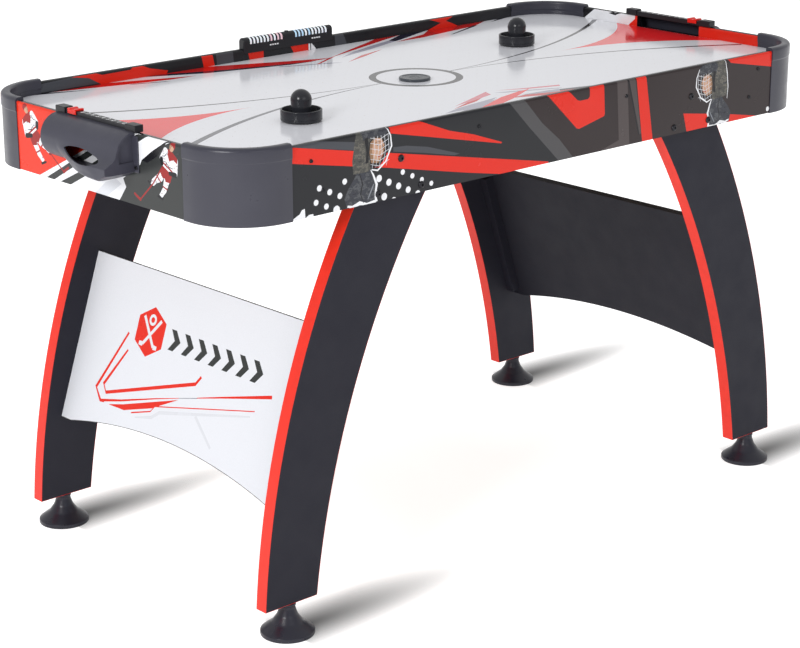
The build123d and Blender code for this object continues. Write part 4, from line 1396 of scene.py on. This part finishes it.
def smooth(points, steps=5):
    """Curve through the points."""
    last = len(points) - 1
    out = []
    for i in range(last):
        a, b, c, d = (points[max(0, min(last, i + k))] for k in (-1, 0, 1, 2))
        for k in range(steps):
            out.append(tuple(between(*axis, k / steps) for axis in zip(a, b, c, d)))
    return out + [points[last]]


def pouch_section(y, wall):
    """Section of the goal box as (out, up): half barrel above, swelling into the pouch below."""
    t = max(0.0, min(1.0, (POUCH_START - y) / (POUCH_START - POUCH_FULL)))
    swell = t * (2 - t)
    past = max(0.0, (POUCH_FULL - y) / (POUCH_FULL + HOOD_HALF))
    floor = POUCH_FLOOR + past * POUCH_END_RISE + wall
    deep = POUCH_DEPTH - wall
    radius = HOOD_R - wall
    full = {
        5: (radius + 0.005, HOOD_Z - 0.005),
        6: (deep - 0.007, POUCH_RIM + 0.0035 - wall * 0.7),
        7: (deep, POUCH_RIM - 0.001 - wall * 0.3),
        8: (deep, max(floor + 0.005, POUCH_RIM - 0.013)),
        9: (deep - 0.007, floor),
        10: (0, floor),
    }
    points = []
    for i, degrees in enumerate(BOX_ANGLES):
        angle = math.radians(degrees)
        here = (radius * math.cos(angle), HOOD_Z + radius * math.sin(angle))
        there = full.get(i, here)
        points.append(tuple(p + (q - p) * swell for p, q in zip(here, there)))
    return [(min(out, deep), up) for out, up in smooth(points)]


def box_form(name, wall, end_wall, overlap):
    """Closed outer or inner form of a goal box."""
    verts = []
    faces = []
    stations = [HOOD_HALF - wall - (2 * HOOD_HALF - wall - end_wall) * k / 52 for k in range(53)]
    for y in stations:
        section = pouch_section(y, wall)
        if overlap:
            section = [(-overlap, section[0][1])] + section + [(-overlap, section[-1][1])]
        verts += [(-HALF_L - out, y, up) for out, up in section]
    n = len(verts) // len(stations)
    for k in range(len(stations) - 1):
        for i in range(n):
            j = (i + 1) % n
            faces.append((k * n + i, (k + 1) * n + i, (k + 1) * n + j, k * n + j))
    faces.append(tuple(range(n)))
    faces.append(tuple((len(stations) - 1) * n + i for i in reversed(range(n))))
    return face_outwards(add_mesh(name, verts, faces))


def prism(name, outline, axis, start, stop):
    """Solid from an outline of points drawn across an axis."""
    verts = []
    for level in (start, stop):
        for a, b in outline:
            point = [a, b]
            point.insert(axis, level)
            verts.append(tuple(point))
    n = len(outline)
    faces = [(i, (i + 1) % n, (i + 1) % n + n, i + n) for i in range(n)]
    faces += [tuple(reversed(range(n))), tuple(range(n, 2 * n))]
    return face_outwards(add_mesh(name, verts, faces))


def carve(body, *cutters):
    """Mesh of body with the cutters taken away; all of them are removed."""
    for cutter in cutters:
        step = body.modifiers.new("Carve", "BOOLEAN")
        step.operation = "DIFFERENCE"
        step.solver = "EXACT"
        step.object = cutter
    view = bpy.context.evaluated_depsgraph_get()
    mesh = bpy.data.meshes.new_from_object(body.evaluated_get(view))
    for piece in (body, *cutters):
        bpy.data.objects.remove(piece, do_unlink=True)
    return mesh


def dish_outline():
    """Outline of the shallow recess in the end face of a goal box."""
    radius = HOOD_R - DISH_RIM
    turns = [math.radians(DISH_START + DISH_SWEEP * k / 20) for k in range(21)]
    arc = [(-HALF_L - radius * math.cos(a), HOOD_Z + radius * math.sin(a)) for a in turns]
    back = -HALF_L - DISH_BACK
    low = POUCH_RIM + DISH_RIM
    return arc + [(back, HOOD_Z + radius), (back, low), (arc[0][0], low)]


def make_goal_boxes():
    eye = smooth(list(EYE) + [EYE[0]], 4)[:-1]
    mesh = carve(
        box_form("Outer", 0.0, 0.0, 0.0),
        box_form("Inner", BOX_WALL, BOX_END_WALL, CUT_PAST),
        prism("Eye", eye, 0, -HALF_L - POUCH_DEPTH - 2 * CUT_PAST, -HALF_L - EYE_BACK),
        prism("Dish", dish_outline(), 1, -HOOD_HALF - CUT_PAST, -HOOD_HALF + BOX_RECESS),
    )
    for end, name in ((-1, "left"), (1, "right")):
        body = mesh.copy()
        body.materials.clear()
        body.materials.append(M["box"])
        body.transform(Matrix.Rotation(math.pi * (end > 0), 4, "Z"))
        piece = bpy.data.objects.new("goal_box_shell_" + name, body)
        bpy.context.scene.collection.objects.link(piece)
        body.polygons.foreach_set("use_smooth", [True] * len(body.polygons))
        body.set_sharp_from_angle(angle=math.radians(32))
        settle(piece, "table", "corner_plastic", "goal_box_" + name)
        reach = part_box("goal_box_" + name)[1].y
        x0, x1 = sorted((end * HALF_L, end * (HALF_L + BOX_WALL)))
        spans = []
        for side in (-1, 1):
            y0, y1 = sorted((side * (HOOD_HALF - FLANGE_OVERLAP), side * reach))
            spans.append(((x0, y0, FLANGE_LOW), (x1, y1, FLANGE_HIGH)))
        tabs = add_boxes("goal_box_flanges_" + name, M["box"], spans)
        soften(tabs, 0.0009, 3)
        settle(tabs, "table", "corner_plastic", "goal_box_" + name)


# ---------------------------------------------------------------- slide scorers
RAIL_TOP = 0.813
RAIL_HALF_T = 0.006
RAIL_BLOCK = 0.026
RAIL_END_GAP = 0.001
NUMERAL_SIZE = 0.0118
NUMERAL_SIDE = 0.0042
NUMERAL_SPAN = 0.070
RIDGE_H = 0.003
HOLLOW_H = 0.0012
HOLLOW_SLOPE = 0.0018
CHEEK_T = 0.002
CHEEK_LAP = 0.0006


def add_numerals(name, x, end):
    """Row of moulded numerals from 0 to 10 along the rail, read from the goal side."""
    verts = []
    faces = []
    for k in range(11):
        curve = bpy.data.curves.new("Numeral", "FONT")
        curve.body = str(k)
        curve.size = NUMERAL_SIZE
        curve.align_x = "CENTER"
        curve.extrude = 0.00004
        curve.offset = 0.00012
        holder = bpy.data.objects.new("Numeral", curve)
        bpy.context.scene.collection.objects.link(holder)
        view = bpy.context.evaluated_depsgraph_get()
        mesh = bpy.data.meshes.new_from_object(holder.evaluated_get(view))
        y = end * (NUMERAL_SPAN - 2 * NUMERAL_SPAN * k / 10)
        turn = Matrix.Translation((x, y, RAIL_TOP)) @ Matrix.Rotation(end * math.pi / 2, 4, "Z")
        start = len(verts)
        verts += [turn @ v.co for v in mesh.vertices]
        faces += [tuple(start + i for i in p.vertices) for p in mesh.polygons]
        bpy.data.objects.remove(holder, do_unlink=True)
    return add_mesh(name, verts, faces, None, [M["numeral"]])


def make_rails():
    for end, name in ((-1, "left"), (1, "right")):
        node = "score_rail_" + name
        low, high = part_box(node)
        x = end * (HALF_L + INNER_X) / 2
        half = high.y
        t = RAIL_HALF_T
        section = [(x - t, BOARD_TOP), (x + t, BOARD_TOP), (x + t, RAIL_TOP), (x - t, RAIL_TOP)]
        bar = prism("score_bar_" + name, section, 1, -half + RAIL_END_GAP, half - RAIL_END_GAP)
        bar.data.materials.append(M["black"])
        soften(bar, 0.0004)
        settle(bar, "table", "black_plastic", node)
        spans = []
        for side in (-1, 1):
            y0, y1 = sorted((side * (half - RAIL_BLOCK), side * half))
            spans.append(((low.x, y0, BOARD_TOP), (high.x, y1, high.z)))
        blocks = add_boxes("score_blocks_" + name, M["black"], spans)
        soften(blocks, 0.0012, 3)
        settle(blocks, "table", "black_plastic", node)
        marks = add_numerals("score_numerals_" + name, x + end * NUMERAL_SIDE, end)
        settle(marks, "table", "black_plastic", node)
        make_slider(name)


def make_slider(name):
    """Saddle-shaped clip with a thumb hollow between two ridges."""
    node = "score_slider_" + name
    low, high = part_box(node)
    y0, y1 = low.y, high.y
    top = high.z
    crown = top - RIDGE_H
    dip = crown + HOLLOW_H
    ridge = (y1 - y0) / 4
    outline = rounded([
        (y0, crown, 0.0001),
        (y1, crown, 0.0001),
        (y1, top, 0.0012),
        (y1 - ridge, top, 0.0012),
        (y1 - ridge - HOLLOW_SLOPE, dip, 0.0014),
        (y0 + ridge + HOLLOW_SLOPE, dip, 0.0014),
        (y0 + ridge, top, 0.0012),
        (y0, top, 0.0012),
    ])
    clip_top = prism("slider_clip_" + name, outline, 0, low.x, high.x)
    clip_top.data.materials.append(M["slider"])
    soften(clip_top, 0.0005)
    settle(clip_top, f"slider_{name}_unit", "red_plastic", node)
    spans = []
    for x0, x1 in ((low.x, low.x + CHEEK_T), (high.x - CHEEK_T, high.x)):
        spans.append(((x0, y0, low.z), (x1, y1, crown + CHEEK_LAP)))
    cheeks = add_boxes("slider_cheeks_" + name, M["slider"], spans)
    soften(cheeks, 0.0006)
    settle(cheeks, f"slider_{name}_unit", "red_plastic", node)


# ---------------------------------------------------------------- stage
KEY_AT = Vector((-4.6, -1.5, 2.6))
FRONT_AT = Vector((-1.0, -4.6, 2.6))
SHADOW_LENGTH = 0.42
SHADOW_HALF = 0.075
SHADOW_DEPTH = 0.88
SHADOW_REACH = 0.95
SHADOW_LIFT = 0.0004


def add_area(name, place, aim, size, power):
    data = bpy.data.lights.new(name, "AREA")
    data.shape = "RECTANGLE"
    data.size, data.size_y = size
    data.energy = power
    lamp = bpy.data.objects.new(name, data)
    lamp.location = place
    lamp.rotation_euler = (aim - place).to_track_quat("-Z", "Y").to_euler()
    bpy.context.scene.collection.objects.link(lamp)


def add_world():
    """White surround, dimmer on the side the front of the table faces."""
    world = bpy.data.worlds.new("Studio")
    bpy.context.scene.world = world
    world.use_nodes = True
    nodes = world.node_tree.nodes
    links = world.node_tree.links
    shell = nodes["Background"]
    place = nodes.new("ShaderNodeTexCoord")
    split = nodes.new("ShaderNodeVectorMath")
    split.operation = "DOT_PRODUCT"
    split.inputs[1].default_value = (0.62, 0.70, 0.35)
    links.new(place.outputs["Generated"], split.inputs[0])
    ranged = nodes.new("ShaderNodeMapRange")
    ranged.inputs["From Min"].default_value = -0.7
    ranged.inputs["From Max"].default_value = 0.55
    ranged.inputs["To Min"].default_value = 0.42
    ranged.inputs["To Max"].default_value = 0.86
    links.new(split.outputs["Value"], ranged.inputs["Value"])
    path = nodes.new("ShaderNodeLightPath")
    pick = nodes.new("ShaderNodeMix")
    pick.inputs["B"].default_value = 1.0
    links.new(path.outputs["Is Camera Ray"], pick.inputs["Factor"])
    links.new(ranged.outputs["Result"], pick.inputs["A"])
    links.new(pick.outputs["Result"], shell.inputs["Strength"])
    shell.inputs["Color"].default_value = (1, 1, 1, 1)


def add_foot_shadows():
    """Soft streak of painted shadow on the floor beside each foot, away from the key light: a dark
    see-through sheet laid on the floor.
    """
    paint = Paint("floor_shadow", (0.01, 0.01, 0.01, 1), 1.0, 0.0)
    fade = paint.nodes.new("ShaderNodeTexGradient")
    fade.gradient_type = "SPHERICAL"
    paint.links.new(paint.place.outputs["Object"], fade.inputs["Vector"])
    veil = paint.span(fade.outputs["Fac"], 0, SHADOW_DEPTH, 0, SHADOW_REACH)
    paint.links.new(veil, paint.shader.inputs["Alpha"])
    for side in ("front", "back"):
        for end in ("left", "right"):
            x, y, _ = round_size(f"foot_{side}_{end}")[0]
            streak = add_mesh("Shadow", [(0, -1, 0), (1, -1, 0), (1, 1, 0), (0, 1, 0)], [(0, 1, 2, 3)])
            streak.scale = (SHADOW_LENGTH, SHADOW_HALF, 1)
            streak.location = (x, y, SHADOW_LIFT)
            streak.data.materials.append(paint.material)


def add_stage():
    floor = add_mesh("Floor", [(-30, -30, 0), (30, -30, 0), (30, 30, 0), (-30, 30, 0)], [(0, 1, 2, 3)])
    paint = Paint("floor_white", (0.92, 0.92, 0.92, 1), 0.9, 0.1)
    paint.set("Emission Color", (1, 1, 1, 1))
    paint.set("Emission Strength", 0.58)
    floor.data.materials.append(paint.material)
    add_foot_shadows()
    add_area("Key", KEY_AT, Vector((0, 0, 0.5)), (1.3, 1.3), 120)
    add_area("Front", FRONT_AT, Vector((0, 0, 0.6)), (3.0, 2.0), 26)
    add_world()
    scene = bpy.context.scene
    scene.view_settings.view_transform = "Standard"
    scene.view_settings.look = "None"


def main():
    add_camera()
    make_materials()
    make_boards()
    make_field()
    make_corners()
    make_panels()
    make_feet()
    make_strikers()
    make_puck()
    make_light_bars()
    make_scorer_marks()
    make_goal_boxes()
    make_rails()
    paint_nodes()
    add_stage()


main()
